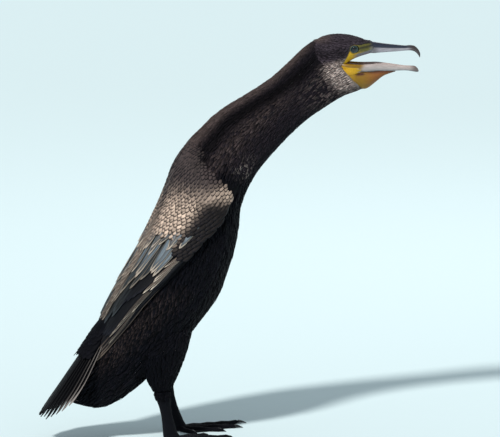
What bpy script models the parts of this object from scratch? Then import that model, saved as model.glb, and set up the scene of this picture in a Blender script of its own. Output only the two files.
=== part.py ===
"""A life-size great cormorant, standing upright with its neck stretched forward and its bill open.

Sizes are in millimetres and are scaled to metres at the end. The bird is drawn straight along X, with Y to
its left and Z up from the floor. The last step turns the neck and head a little to the bird's right.
"""

import math

import bmesh
import bpy
import numpy as np
from mathutils import Matrix

MM = 0.001
GAP = 0.35            # clear space between touching pieces
MERGE = 0.004         # points closer than this are one point after a cut

# The outline of throat, neck and trunk: each station is a slanted cut through the bird.
# name, back x, back z, belly x, belly z, width
STATIONS = (
    ("throat", 119.5, 589.4, 190.6, 512.8, 46),
    ("nape", 98.7, 573.8, 161.0, 502.6, 54),
    ("neck_top", 76.4, 552.4, 137.3, 488.5, 59),
    ("neck_high", 49.5, 529.0, 110.6, 470.7, 62),
    ("neck_mid", 12.0, 506.1, 82.4, 445.6, 66),
    ("neck_low", -26.1, 483.6, 60.0, 422.0, 74),
    ("neck_base", -50.6, 460.7, 43.6, 404.4, 84),
    ("shoulder", -73.5, 437.7, 31.5, 389.8, 95),
    ("breast_top", -90.4, 406.9, 21.0, 373.6, 108),
    ("wrist", -102.7, 363.9, 7.4, 345.5, 126),
    ("breast", -116.4, 328.4, 3.0, 308.5, 140),
    ("keel", -133.3, 293.1, -5.0, 273.0, 148),
    ("waist", -150.2, 260.8, -16.0, 243.0, 150),
    ("belly", -170.1, 228.7, -27.6, 211.7, 146),
    ("loin", -188.5, 196.5, -50.6, 181.1, 136),
    ("hip", -203.0, 170.5, -81.2, 143.5, 120),
    ("rump", -218.0, 146.5, -118.0, 106.1, 98),
    ("vent", -231.5, 125.0, -154.8, 74.7, 76),
    ("undertail", -243.0, 105.0, -182.3, 56.4, 54),
    ("undertail_low", -253.0, 88.0, -207.0, 48.0, 38),
    ("undertail_end", -261.0, 74.5, -234.0, 53.0, 22),
    ("undertail_tip", -265.0, 67.5, -250.0, 59.0, 9),
)
ROUNDNESS = 2.15      # superellipse exponent of the cuts, where 2 is an ellipse
BODY_SIDES = 22
TRUNK_STEPS = 22
HEAD_END = 1.0        # station numbers where the head, the two neck lengths and the trunk part
NECK_SPLIT = 4.0
NECK_END = 8.0

# The turn of the neck starts over the breast and is complete at the head.
TURN_FROM = -30.0
TURN_TO = 120.0
TURN = math.radians(-12)

# The head is measured from the middle of the eyes.
EYE_X = 178.0
EYE_Z = 573.6
EYE_RADIUS = 6.2
EYE_RISE = 2.5        # height of the eyeball's centre over EYE_Z
EYE_SIDE = 15.0       # distance of the eyeball's centre from the middle plane
LID_OUT = 20.1        # distance of the lids' rim from the middle plane
LID_RADII = (9.0, 5.9)
LID_DEPTH = 8.0
# x from the eye, top, bottom, width
CRANIUM = (
    (-56, 15.5, -14, 28), (-48, 20.6, -26, 42), (-34, 23.8, -31, 47.5), (-20, 24.2, -28, 46), (-12, 23.4, -22.5, 44),
    (-6, 22.3, -17.2, 42), (2, 20.4, -13.2, 39.5), (10, 17.8, -10.4, 34.5), (19, 14, -7.9, 26), (27.5, 10.2, -5.4, 18),
)
# x and z of the ridge, x and z of the cutting edge, half width
UPPER_BILL = (
    (27.9, 10, 27.9, -5.3, 8.9), (35, 9, 35, -4.9, 7.8), (46, 7.4, 46, -4.3, 6.8), (61, 5.7, 60.5, -3.6, 5.7),
    (74, 4.3, 72.5, -2.8, 4.8), (82, 4.8, 80.5, -2.5, 4.5), (88.5, 3.4, 85.8, -3.3, 4.1),
    (93.6, -1.4, 89.4, -5.2, 3.2), (96.6, -7.2, 92.4, -8.2, 2.2), (96.8, -11.8, 94.7, -11.6, 1.2),
    (96.3, -13.8, 95.6, -13.7, 0.5),
)
# half of a cut through the upper bill as shares across and up: ridge, side groove, edge and palate
UPPER_BILL_CUT = (
    (0, 1), (0.36, 0.95), (0.7, 0.72), (0.72, 0.5), (0.94, 0.32), (0.92, 0.0), (0.42, 0.16), (0, 0.22),
)
# x, top, bottom, half width, depth of the trough
LOWER_BILL = (
    (-24, -19.5, -30, 14.5, 2.5), (-15, -20.2, -31.5, 16.4, 4), (-6, -21.2, -33, 17, 6), (6, -22.1, -34, 16, 8),
    (20, -22.0, -34.1, 13.8, 8), (33, -21.7, -33.4, 11.5, 7), (48, -23.1, -33.6, 9.0, 5.6), (62, -24.9, -33.0, 7.0, 4),
    (74, -26.4, -32.8, 5.6, 2.4), (83, -26.8, -33.8, 5.0, 1.4), (89, -27.4, -35.0, 4.3, 0.9),
    (92.6, -30.0, -35.3, 2.9, 0.5), (94.4, -33.0, -34.8, 1.3, 0.3),
)
BILL_WALL = 0.3       # share of the half width that each side of the trough takes
# outer half of a cut through the lower bill as shares across and up
LOWER_BILL_CUT = ((0.97, 0.92), (1, 0.5), (0.84, 0.16), (0.45, 0), (0, 0))
# x, top, bottom, width
POUCH = (
    (-24, -24, -36, 34), (-17, -24, -41, 39), (-11, -25, -46.5, 40), (-4, -27, -52, 38), (4, -29, -56.6, 36),
    (12, -30, -60, 33), (20, -30, -58, 29), (31, -30, -49.5, 23.5), (42, -30, -41, 17), (52, -30.2, -37, 12),
    (60, -30.5, -34.6, 7),
)

# The folded wing lies on the trunk from the wrist back. Station numbers run along it.
INNER_EDGE_DEG = 6.0
# station, angle of the wing's lower edge round the trunk from the back
LOWER_EDGE = ((8.5, 120), (9.1, 113), (10.3, 89), (11.8, 70), (13.5, 53), (15.3, 44), (17.2, 42))
CORE_FIRST = 8.6
CORE_LAST = 13.4
CORE_SINK = 2.0       # how far the core runs into the trunk before the trunk is cut out of it
# station, height of the wing's smooth core over the trunk
CORE_THICK = ((8.5, 2.4), (9.0, 6.8), (10.0, 8.2), (11.0, 7.2), (12.0, 5.4), (13.4, 2.6))
# place across from the inner to the lower edge, share of that height
CORE_PROFILE = ((0, 0.3), (0.2, 0.55), (0.5, 0.9), (0.8, 1.0), (0.93, 0.85), (1, 0.5))
# place across, share of a vane's height there
LIFT_PROFILE = ((0, 0.58), (0.25, 0.7), (0.5, 0.92), (0.7, 1.0), (1, 0.94))
# name, count, root station, tip station of the inner and outer vane, place across of both,
# half width, height of the tips, change of that height from vane to vane, cuts along a vane
WING_TIERS = (
    ("primary", 4, 12.6, 15.7, 17.0, 0.42, 0.93, 6.6, 9.0, -0.9, 5),
    ("secondary", 5, 11.3, 15.5, 14.3, 0.15, 0.88, 7.8, 10.6, -0.4, 5),
    ("greater_covert", 6, 10.4, 13.3, 12.6, 0.13, 0.95, 8.4, 9.6, -0.15, 4),
    ("median_covert", 6, 9.75, 11.8, 11.4, 0.13, 0.95, 9.8, 9.4, -0.12, 4),
    ("lesser_covert", 6, 9.1, 10.7, 10.4, 0.13, 0.95, 11.4, 8.8, -0.1, 4),
    ("long_scapular", 3, 10.9, 14.0, 13.1, 0.05, 0.34, 8.8, 13.4, -0.6, 5),
    ("scapular", 3, 9.8, 12.1, 11.7, 0.05, 0.38, 10.2, 11.4, -0.3, 4),
)
ROOT_SINK = 1.3       # depth of a vane's root under the core's surface
VANE_THICK = 0.62
VANE_LEAN = 0.13      # rise across a vane towards its lower edge, so that the neighbour above overlaps it
VANE_ROOT = 0.62      # width of a vane's root and end as shares of its widest
VANE_TIP = 0.34
VANE_FULL = (0.35, 0.6)   # shares of a vane's length between which it is widest
VANE_CROWD = 1.4      # how much closer together the cuts along a vane lie towards its tip

# The tail's line runs back and down from the rump. Its feathers fan out from a flat stump.
TAIL_ROOT = (-206.0, 176.0)
TAIL_SLOPE = math.radians(235.0)
TAIL_FEATHERS = 14
TAIL_LENGTH = 166.0
TAIL_SHORTEN = 34.0   # the outer feathers are this much shorter
TAIL_ROOT_HALF = 16.0
TAIL_FAN = math.radians(14.5)
TAIL_HALF_WIDTH = 7.4
TAIL_FALL = 1.5       # depth of the middle feathers under the tail's line
TAIL_TENT = 11.5      # how far the outer feathers lie under the middle ones
TAIL_DROOP = 6.0      # how much further they curve down
TAIL_LAYERED = 1.5    # how fast that depth grows from half at the root to its full measure
TAIL_LAYER_SHIFT = 0.25   # keeps a feather on the left out of the layer of the one on the right
TAIL_FEATHER_START = 0.04
TAIL_VANE_THICK = 0.5
FAN_ROOM = 2.2        # depth that the layers of the fan take to either side of its middle sheet
# distance along the tail, centre below the tail's line, half width, half depth
TAIL_BASE = ((-14, 8.0, 13, 4.5), (-4, 7.4, 20, 7.0), (12, 7.2, 24, 7.6), (30, 7.0, 25, 6.4), (46, 6.8, 22, 4.6))

# The legs. The right foot stands behind the left one.
LEG_SIDE = 42.0
# side, ankle x, ankle z, foot x
LEGS = {"right": (-1, -122.5, 77.0, -111.0), "left": (1, -97.0, 77.0, -79.0)}
HIP_X = -122.5
HIP_RISE = 98.0       # height of the hip over the ankle
HIP_REACH = 0.8       # share of the way from the ankle's x to HIP_X that the thigh covers at that height
# from the ankle: x and z of the shin's front, x and z of its back, width, distance towards the middle plane
THIGH = (
    (52, 112, -30, 84, 46, 7), (46, 82, -31, 56, 46, 3), (38, 56, -30, 36, 40, 0), (31, 37, -27, 24, 33, 0),
    (24, 20, -23, 13, 26, 0), (17, 7, -17, 3, 19, 0), (13.5, -1, -13.5, -3, 15.5, 0),
)
# share of the way from ankle to foot, half depth, half width
SHANK = ((0.0, 12.6, 7.4), (0.16, 11.0, 6.2), (0.38, 8.8, 4.9), (0.62, 8.3, 4.8), (0.85, 9.4, 6.4), (1.0, 10.4, 8.4))
SHANK_DROP = 2.0      # depth of the shank's top under the ankle
SHANK_SLOPE = 0.074   # slope of that top, which is the slope of the thigh's end
FOOT_TOP = 16.0
HEEL = ((FOOT_TOP, 0, 10.4, 8.4), (10.0, 2, 12.0, 9.6), (4.0, 4, 13.0, 10.5), (0.9, 4, 11.5, 9.5))
# name, direction in degrees towards the inner side, length, joints
TOES = (("outer", -17, 104, 4), ("middle", 2, 88, 3), ("inner", 23, 64, 2), ("hind", 62, 37, 1))
TOE_START = 5.0
TOE_HALF_WIDTH = 4.5
TOE_HEIGHT = 8.6
TOE_TAPER = 0.38      # share of its size that a toe loses towards its end
TOE_ARCH = 0.5        # height of the sole over the floor at the toes' roots
TOE_ARCH_STEP = 0.12  # how much that height grows from toe to toe, so that their soles part cleanly
TOE_ARCH_END = 0.3    # share of the toe's length where the sole meets the floor
KNUCKLE = (0.12, 0.07)    # swelling of a knuckle across and up, as shares
# half of a cut through a toe as shares across and up
TOE_CUT = ((0.7, 0), (1, 0.36), (0.8, 0.78), (0.3, 1))
# forward of the toe's end, half width, bottom, top
CLAW = ((2.0, 2.3, 0.5, 4.8), (6.5, 1.4, 0.9, 3.9), (10.5, 0.3, 0.3, 0.9))
WEB_THICK = 1.3
WEB_CLEAR = 0.7       # the web's underside above the floor
WEB_LIFT = 0.9        # how much higher it meets the toes
WEB_REACH = 0.95      # share of the toes' length that it reaches
WEB_SCALLOP = 0.13    # depth of the hollow in its front edge
WEB_ROWS = (0.14, 0.42, 0.72, 1.0)
SHARP_ANGLE = math.radians(42)

COLOURS = {
    "plumage": ((0.035, 0.028, 0.026, 1), 0.6, 0.0),
    "wing_feather": ((0.13, 0.095, 0.075, 1), 0.5, 0.0),
    "tail_feather": ((0.055, 0.052, 0.055, 1), 0.5, 0.0),
    "horn": ((0.36, 0.32, 0.31, 1), 0.38, 0.0),
    "bare_skin": ((0.62, 0.33, 0.03, 1), 0.5, 0.0),
    "eye": ((0.02, 0.07, 0.06, 1), 0.08, 0.0),
    "foot_skin": ((0.02, 0.021, 0.026, 1), 0.45, 0.0),
}


def material(name):
    """The named finish as a Principled material."""
    made = bpy.data.materials.get(name)
    if made:
        return made
    made = bpy.data.materials.new(name)
    made.use_nodes = True
    colour, rough, metal = COLOURS[name]
    shader = made.node_tree.nodes["Principled BSDF"]
    shader.inputs["Base Color"].default_value = colour
    shader.inputs["Roughness"].default_value = rough
    shader.inputs["Metallic"].default_value = metal
    return made


def new_collection(name):
    made = bpy.data.collections.new(name)
    bpy.context.scene.collection.children.link(made)
    return made


def along(values, at):
    """A smooth curve through evenly numbered rows, read at a fractional row number."""
    values = np.asarray(values, float)
    last = len(values) - 1
    low = int(min(max(math.floor(at), 0), last - 1))
    t = at - low
    a, b = values[low], values[low + 1]
    before = values[low - 1] if low else 2 * a - b
    after = values[low + 2] if low + 2 <= last else 2 * b - a
    return 0.5 * (
        2 * a + (b - before) * t + (2 * before - 5 * a + 4 * b - after) * t**2 + (3 * a - before - 3 * b + after) * t**3
    )


def between(table, at):
    """Straight reading of a table of place and value."""
    return float(np.interp(at, [row[0] for row in table], [row[1] for row in table]))


def rounded(angle, power):
    """Across and up on a unit superellipse, with the angle from the top."""
    c, s = math.cos(angle), math.sin(angle)
    return math.copysign(abs(s) ** (2 / power), s), math.copysign(abs(c) ** (2 / power), c)


def body_cut(station):
    """Centre, up vector with the half depth, and half width of the bird at a station number."""
    back_x, back_z, belly_x, belly_z, width = along([row[1:] for row in STATIONS], station)
    centre = np.array([(back_x + belly_x) / 2, 0, (back_z + belly_z) / 2])
    up = np.array([(back_x - belly_x) / 2, 0, (back_z - belly_z) / 2])
    return centre, up, width / 2


def skin_point(station, angle):
    """A point on the trunk or neck, where angle 0 is the middle of the back and 90 degrees the left side."""
    centre, up, half_width = body_cut(station)
    across, above = rounded(angle, ROUNDNESS)
    return centre + up * above + np.array([0, half_width * across, 0])


def skin_frame(station, angle, lift=0.0):
    """A point at a height over the skin, and the outward normal there."""
    step = 0.02
    here = skin_point(station, angle)
    back = skin_point(station + step, angle) - skin_point(station - step, angle)
    round_it = skin_point(station, angle + step) - skin_point(station, angle - step)
    normal = np.cross(round_it, back)
    normal /= np.linalg.norm(normal)
    if normal @ (here - body_cut(station)[0]) < 0:
        normal = -normal
    return here + normal * lift, normal


def turned(points):
    """The neck's turn, from the straight bird to the one that looks a little to its right."""
    heading = TURN * np.clip((points[:, 0] - TURN_FROM) / (TURN_TO - TURN_FROM), 0, 1)
    radius = (TURN_TO - TURN_FROM) / TURN
    past = np.maximum(points[:, 0] - TURN_TO, 0)
    x = np.minimum(points[:, 0], TURN_FROM) + radius * np.sin(heading) + past * math.cos(TURN)
    y = radius * (1 - np.cos(heading)) + past * math.sin(TURN)
    return np.column_stack([x - points[:, 1] * np.sin(heading), y + points[:, 1] * np.cos(heading), points[:, 2]])


def from_work(name, work, where):
    mesh = bpy.data.meshes.new(name)
    work.to_mesh(mesh)
    work.free()
    made = bpy.data.objects.new(name, mesh)
    where.objects.link(made)
    return made


def mesh_object(name, points, faces, where):
    """A closed mesh object from points and faces, with its faces pointing out."""
    work = bmesh.new()
    corners = [work.verts.new(point) for point in points]
    for face in faces:
        work.faces.new([corners[i] for i in face])
    bmesh.ops.recalc_face_normals(work, faces=work.faces)
    if work.calc_volume(signed=True) < 0:
        bmesh.ops.reverse_faces(work, faces=work.faces)
    return from_work(name, work, where)


def loft(name, rings, where):
    """A closed skin through rings of equal count, with a fan from its middle at each end."""
    count = len(rings[0])
    points = [tuple(point) for ring in rings for point in ring]
    faces = []
    for row in range(len(rings) - 1):
        for i in range(count):
            a, b = row * count + i, row * count + (i + 1) % count
            faces.append((a, b, b + count, a + count))
    for start, ring in ((0, rings[0]), (len(points) - count, rings[-1])):
        middle = len(points)
        points.append(tuple(np.mean(ring, axis=0)))
        faces += [(start + i, start + (i + 1) % count, middle) for i in range(count)]
    return mesh_object(name, points, faces, where)


def sheet(name, outer, inner, where):
    """A closed sheet between two grids of points of the same size."""
    rows, columns = len(outer), len(outer[0])
    points = [tuple(p) for grid in (outer, inner) for row in grid for p in row]
    under = rows * columns
    faces = []
    for r in range(rows - 1):
        for c in range(columns - 1):
            a = r * columns + c
            b = a + columns
            for shift in (0, under):
                faces += [(a + shift, a + 1 + shift, b + 1 + shift), (a + shift, b + 1 + shift, b + shift)]
    rim = list(range(columns)) + [r * columns + columns - 1 for r in range(1, rows)]
    rim += [(rows - 1) * columns + c for c in range(columns - 2, -1, -1)] + [r * columns for r in range(rows - 2, 0, -1)]
    for a, b in zip(rim, rim[1:] + rim[:1]):
        faces.append((a, b, b + under, a + under))
    return mesh_object(name, points, faces, where)


def oval(centre, up, half_width, sides, power=2.0, grow=0.0):
    """A ring round a centre: up holds the half depth, and Y is across."""
    up = np.asarray(up, float)
    up = up * (1 + grow / np.linalg.norm(up))
    ring = []
    for i in range(sides):
        across, above = rounded(2 * math.pi * i / sides, power)
        ring.append(np.asarray(centre, float) + up * above + np.array([0, (half_width + grow) * across, 0]))
    return ring


def mirrored_ring(half):
    """A ring from half of it, whose first and last points lie on the middle plane."""
    return half + [np.array([p[0], -p[1], p[2]]) for p in half[-2:0:-1]]


def tidy(made):
    """Merges points that a cut left all but touching, and keeps the largest closed surface."""
    work = bmesh.new()
    work.from_mesh(made.data)
    bmesh.ops.remove_doubles(work, verts=work.verts, dist=MERGE)
    left = set(work.faces)
    pieces = []
    while left:
        todo = [left.pop()]
        piece = set(todo)
        while todo:
            near = {face for edge in todo.pop().edges for face in edge.link_faces} & left
            left -= near
            piece |= near
            todo.extend(near)
        pieces.append(piece)
    pieces.sort(key=lambda piece: sum(face.calc_area() for face in piece))
    scraps = [face for piece in pieces[:-1] for face in piece]
    bmesh.ops.delete(work, geom=scraps, context="FACES")
    work.to_mesh(made.data)
    work.free()
    return made


def combine(made, others, operation, solver="EXACT"):
    """One Boolean on a collection of closed meshes, applied, with those meshes then removed."""
    group = new_collection("operands")
    for other in others:
        for owner in list(other.users_collection):
            owner.objects.unlink(other)
        group.objects.link(other)
    step = made.modifiers.new(operation.lower(), "BOOLEAN")
    step.operation = operation
    step.operand_type = "COLLECTION"
    step.collection = group
    step.solver = solver
    bpy.context.view_layer.update()
    shaped = bpy.data.meshes.new_from_object(made.evaluated_get(bpy.context.evaluated_depsgraph_get()))
    made.modifiers.clear()
    made.data = shaped
    for other in others:
        bpy.data.objects.remove(other)
    bpy.data.collections.remove(group)
    return tidy(made)


def station_gap(at):
    """The change of station number that leaves the clear gap along the body."""
    step = 0.05
    return 2 * step * GAP / np.linalg.norm(body_cut(at + step)[0] - body_cut(at - step)[0])


def body_length(name, first, last, steps, where, grow=0.0):
    """A length of the trunk or neck between two station numbers."""
    rings = []
    for at in np.linspace(first, last, steps + 1):
        centre, up, half_width = body_cut(at)
        rings.append(oval(centre, up, half_width, BODY_SIDES, ROUNDNESS, grow))
    return loft(name, rings, where)


def trunk_cutter(where):
    """The trunk, larger by the gap, for cutting what lies on it."""
    return body_length("trunk_cutter", NECK_END, len(STATIONS) - 1, TRUNK_STEPS, where, GAP)


def build_body(parts):
    torso = body_length("torso", NECK_END, len(STATIONS) - 1, TRUNK_STEPS, parts)
    lower = body_length("neck_lower", NECK_SPLIT, NECK_END - station_gap(NECK_END), 6, parts)
    upper = body_length("neck_upper", HEAD_END + station_gap(HEAD_END), NECK_SPLIT - station_gap(NECK_SPLIT), 5, parts)
    return [torso, lower, upper]


def head_loft(name, rows, where, sides=18, grow=0.0):
    rings = []
    for x, top, bottom, width in rows:
        centre = (EYE_X + x, 0, EYE_Z + (top + bottom) / 2)
        rings.append(oval(centre, (0, 0, (top - bottom) / 2), width / 2, sides, 2.1, grow))
    return loft(name, rings, where)


def head_forms(where, grow=0.0):
    """The throat and the cranium as two closed forms, larger by a margin for cutting what lies on them."""
    front = -station_gap(0) * grow / GAP
    throat = body_length("head", HEAD_END, front, 4, where, grow)
    return throat, head_loft("cranium", CRANIUM, where, grow=grow)


def eyeball(name, side, where, grow=0.0):
    work = bmesh.new()
    place = Matrix.Translation((EYE_X, side * EYE_SIDE, EYE_Z + EYE_RISE)) @ Matrix.Rotation(math.pi / 2, 4, "X")
    bmesh.ops.create_uvsphere(work, u_segments=16, v_segments=10, radius=EYE_RADIUS + grow, matrix=place)
    return from_work(name, work, where)


def lid(side, where):
    """The raised rim that the lids make round an eye."""
    work = bmesh.new()
    middle = side * (LID_OUT - LID_DEPTH / 2)
    place = Matrix.Translation((EYE_X, middle, EYE_Z + EYE_RISE)) @ Matrix.Rotation(-side * math.pi / 2, 4, "X")
    bmesh.ops.create_cone(
        work, cap_ends=True, segments=20, radius1=LID_RADII[0], radius2=LID_RADII[1], depth=LID_DEPTH, matrix=place
    )
    return from_work("lid", work, where)


def build_head(parts, cutters):
    head, cranium = head_forms(parts)
    combine(head, [cranium, lid(1, cutters), lid(-1, cutters)], "UNION")
    combine(head, [eyeball("socket", side, cutters, GAP) for side in (1, -1)], "DIFFERENCE")
    return [head, eyeball("eye_left", 1, parts), eyeball("eye_right", -1, parts)]


def build_upper_bill(parts):
    rings = []
    for ridge_x, ridge_z, edge_x, edge_z, half_width in UPPER_BILL:
        half = []
        for across, above in UPPER_BILL_CUT:
            x = edge_x + (ridge_x - edge_x) * above
            z = edge_z + (ridge_z - edge_z) * above
            half.append(np.array([EYE_X + x, half_width * across, EYE_Z + z]))
        rings.append(mirrored_ring(half))
    return loft("bill_upper", rings, parts)


def lower_bill(name, where, grow=0.0):
    """The lower bill with its trough, or filled and larger by the gap for cutting what lies under it."""
    rings = []
    for x, top, bottom, half_width, trough in LOWER_BILL:
        top, bottom, half_width = top + grow, bottom - grow, half_width + grow
        deep = top - (0 if grow else trough)
        height = top - bottom
        cut = [(0, deep), (0.5 * (1 - BILL_WALL), deep), (1 - BILL_WALL, top)]
        cut += [(across, bottom + above * height) for across, above in LOWER_BILL_CUT]
        rings.append(mirrored_ring([np.array([EYE_X + x, half_width * across, EYE_Z + z]) for across, z in cut]))
    return loft(name, rings, where)


def build_jaw(parts, cutters):
    """The lower bill and the bare pouch of skin under it."""
    bill = lower_bill("bill_lower", parts)
    combine(bill, head_forms(cutters, GAP), "DIFFERENCE")
    pouch = head_loft("gular_pouch", POUCH, parts)
    combine(pouch, [*head_forms(cutters, GAP), lower_bill("jaw_cutter", cutters, GAP)], "DIFFERENCE")
    return [build_upper_bill(parts), bill, pouch]


def wing_angle(station, share):
    """The angle round the trunk at a share of the way from the wing's inner edge to its lower edge."""
    return math.radians(INNER_EDGE_DEG + share * (between(LOWER_EDGE, station) - INNER_EDGE_DEG))


def core_top(station, share):
    return between(CORE_THICK, station) * between(CORE_PROFILE, share)


def wing_core(name, where, rows=8, columns=8):
    """The smooth closed form on the left of the trunk that the vanes are rooted in."""
    outer, inner = [], []
    for station in np.linspace(CORE_FIRST, CORE_LAST, rows):
        shares = np.linspace(0, 1, columns)
        outer.append([skin_frame(station, wing_angle(station, s), core_top(station, s))[0] for s in shares])
        inner.append([skin_frame(station, wing_angle(station, s), -CORE_SINK)[0] for s in shares])
    return sheet(name, outer, inner, where)


def vane_width(t):
    """Half width along a vane as a share of its widest: full over the middle and rounded at the tip."""
    full, narrowing = VANE_FULL
    root = VANE_ROOT + (1 - VANE_ROOT) * min(t / full, 1)
    end = math.sqrt(max(0.0, 1 - max((t - narrowing) / (1 - narrowing), 0) ** 2.2))
    return root * (VANE_TIP + (1 - VANE_TIP) * end)


def vane(name, centres, normals, half_widths, lean, thick, where):
    """A thin closed strip, split into triangles alike on both faces. Lean raises its edge away from the back."""
    runs = np.gradient(np.array(centres), axis=0)
    points = []
    for centre, normal, run, half in zip(centres, normals, runs, half_widths):
        side = np.cross(run, normal)
        side /= np.linalg.norm(side)
        face = np.cross(side, run)
        face /= np.linalg.norm(face)
        near, far = centre - side * half - face * lean * half, centre + side * half + face * lean * half
        half_thick = face * thick / 2
        points += [near + half_thick, far + half_thick, far - half_thick, near - half_thick]
    faces = []
    for a in range(0, len(points) - 4, 4):
        b = a + 4
        faces += [(a, a + 1, b + 1), (a, b + 1, b), (a + 3, a + 2, b + 2), (a + 3, b + 2, b + 3)]
        faces += [(a + 1, a + 2, b + 2), (a + 1, b + 2, b + 1), (a, a + 3, b + 3), (a, b + 3, b)]
    last = len(points) - 4
    faces += [(0, 1, 2), (0, 2, 3), (last, last + 1, last + 2), (last, last + 2, last + 3)]
    return mesh_object(name, points, faces, where)


def shares_along(cuts):
    """Places along a vane, closer together towards its tip."""
    return [1 - (1 - i / (cuts - 1)) ** VANE_CROWD for i in range(cuts)]


def wing_vane(tier, number, where):
    """One vane of the left wing, from its root in the core back over the vanes of the next tier."""
    name, count, root, inner_tip, outer_tip, inner, outer, half_width, lift, lift_change, cuts = tier
    place = number / (count - 1)
    share = inner + (outer - inner) * place
    tip = inner_tip + (outer_tip - inner_tip) * place
    start = core_top(root, share) - ROOT_SINK
    end = (lift + lift_change * number) * between(LIFT_PROFILE, share)
    centres, normals, widths = [], [], []
    for t in shares_along(cuts):
        station = root + (tip - root) * t
        point, normal = skin_frame(station, wing_angle(station, share), start + (end - start) * t)
        centres.append(point)
        normals.append(normal)
        widths.append(half_width * vane_width(t))
    return vane(name, centres, normals, widths, VANE_LEAN, VANE_THICK, where)


def mirrored_copy(made, name, where):
    """The same piece on the other side of the middle plane."""
    mesh = made.data.copy()
    mesh.transform(Matrix.Scale(-1, 4, (0, 1, 0)))
    mesh.flip_normals()
    copy = bpy.data.objects.new(name, mesh)
    where.objects.link(copy)
    return copy


def build_wings(parts, cutters):
    left = wing_core("wing_left", parts)
    combine(left, [wing_vane(tier, number, cutters) for tier in WING_TIERS for number in range(tier[1])], "UNION")
    combine(left, [trunk_cutter(cutters), *tail_cutters(cutters)], "DIFFERENCE")
    return [left, mirrored_copy(left, "wing_right", parts)]


def tail_point(distance, below, aside):
    """A point by its distance along the tail's line, its depth under the line, and its place across."""
    c, s = math.cos(TAIL_SLOPE), math.sin(TAIL_SLOPE)
    return np.array([TAIL_ROOT[0] + distance * c - below * s, aside, TAIL_ROOT[1] + distance * s + below * c])


def fan_point(place, share, lift=0.0, aside=0.0, rank=None):
    """A point of the fan: place runs from -1 to 1 across it, share from root to tip, and rank is its layer."""
    rank = abs(place) if rank is None else rank
    length = TAIL_LENGTH - TAIL_SHORTEN * place**2
    angle = place * TAIL_FAN
    fall = TAIL_FALL + (TAIL_TENT * rank + TAIL_DROOP * place**2) * (0.5 + 0.5 * min(1, TAIL_LAYERED * share))
    across = place * TAIL_ROOT_HALF + share * length * math.sin(angle) + aside
    return tail_point(share * length * math.cos(angle), fall - lift, across)


def tail_base(name, where, grow=0.0):
    """The flat stump that the tail feathers spring from."""
    rings = []
    for distance, below, half_width, half_depth in TAIL_BASE:
        up = tail_point(distance, 0, 0) - tail_point(distance, 1, 0)
        rings.append(oval(tail_point(distance, below, 0), up * half_depth, half_width, 16, 2.4, grow))
    return loft(name, rings, where)


def tail_cutters(where, room=1.2):
    """The space that stump and fan take, with some room round them."""
    outer, inner = [], []
    places = np.linspace(-1, 1, 9)
    aside = TAIL_HALF_WIDTH + room
    for share in np.linspace(0, 1, 8):
        outer.append([fan_point(p, share, room + FAN_ROOM, aside * p) for p in places])
        inner.append([fan_point(p, share, -room - FAN_ROOM, aside * p) for p in places])
    return [tail_base("stump_cutter", where, room), sheet("fan_cutter", outer, inner, where)]


def tail_vane(number, where, cuts=7):
    """One tail feather. The ones right and left of the middle take turns in the layers."""
    half_count = (TAIL_FEATHERS - 1) / 2
    place = (number - half_count) / half_count
    rank = abs(number - half_count + TAIL_LAYER_SHIFT) / half_count
    shares = shares_along(cuts)
    start = TAIL_FEATHER_START
    centres = [fan_point(place, start + (1 - start) * t, rank=rank) for t in shares]
    up = tail_point(0, 0, 0) - tail_point(0, 1, 0)
    tilt = math.atan(0.5 * (TAIL_TENT + TAIL_DROOP) / (TAIL_ROOT_HALF + TAIL_LENGTH * math.sin(TAIL_FAN))) * place
    normal = up * math.cos(tilt) + np.array([0, math.sin(tilt), 0])
    widths = [TAIL_HALF_WIDTH * vane_width(t) for t in shares]
    return vane("rectrix", centres, [normal] * cuts, widths, 0, TAIL_VANE_THICK, where)


def build_tail(parts, cutters):
    tail = tail_base("tail", parts)
    combine(tail, [tail_vane(number, cutters) for number in range(TAIL_FEATHERS)], "UNION")
    return combine(tail, [trunk_cutter(cutters)], "DIFFERENCE")


def build_thigh(name, side, ankle_x, ankle_z, parts, cutters):
    rings = []
    for front_x, front_z, back_x, back_z, width, inward in THIGH:
        height = (front_z + back_z) / 2
        share = max(0.0, min(1.0, height / HIP_RISE))
        x = ankle_x + (HIP_X - ankle_x) * HIP_REACH * share
        centre = (x + (front_x + back_x) / 2, side * (LEG_SIDE - inward), ankle_z + height)
        up = ((front_x - back_x) / 2, 0, (front_z - back_z) / 2)
        rings.append(oval(centre, up, width / 2, 16))
    thigh = loft(name, rings, parts)
    return combine(thigh, [trunk_cutter(cutters)], "DIFFERENCE")


def build_shank(name, side, ankle_x, ankle_z, foot_x, parts):
    rings = []
    top = ankle_z - SHANK_DROP - GAP
    for share, half_depth, half_width in SHANK:
        x = ankle_x + (foot_x - ankle_x) * share
        z = top + (FOOT_TOP + GAP - top) * share
        lean = SHANK_SLOPE * half_depth * (1 - share)
        rings.append(oval((x, side * LEG_SIDE, z), (half_depth, 0, lean), half_width, 14))
    return loft(name, rings, parts)


def toe_line(side, foot_x, degrees, distance):
    """A point on the floor at a distance along a toe."""
    angle = math.radians(degrees)
    return np.array([foot_x + distance * math.cos(angle), side * (LEG_SIDE - distance * math.sin(angle)), 0])


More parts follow.
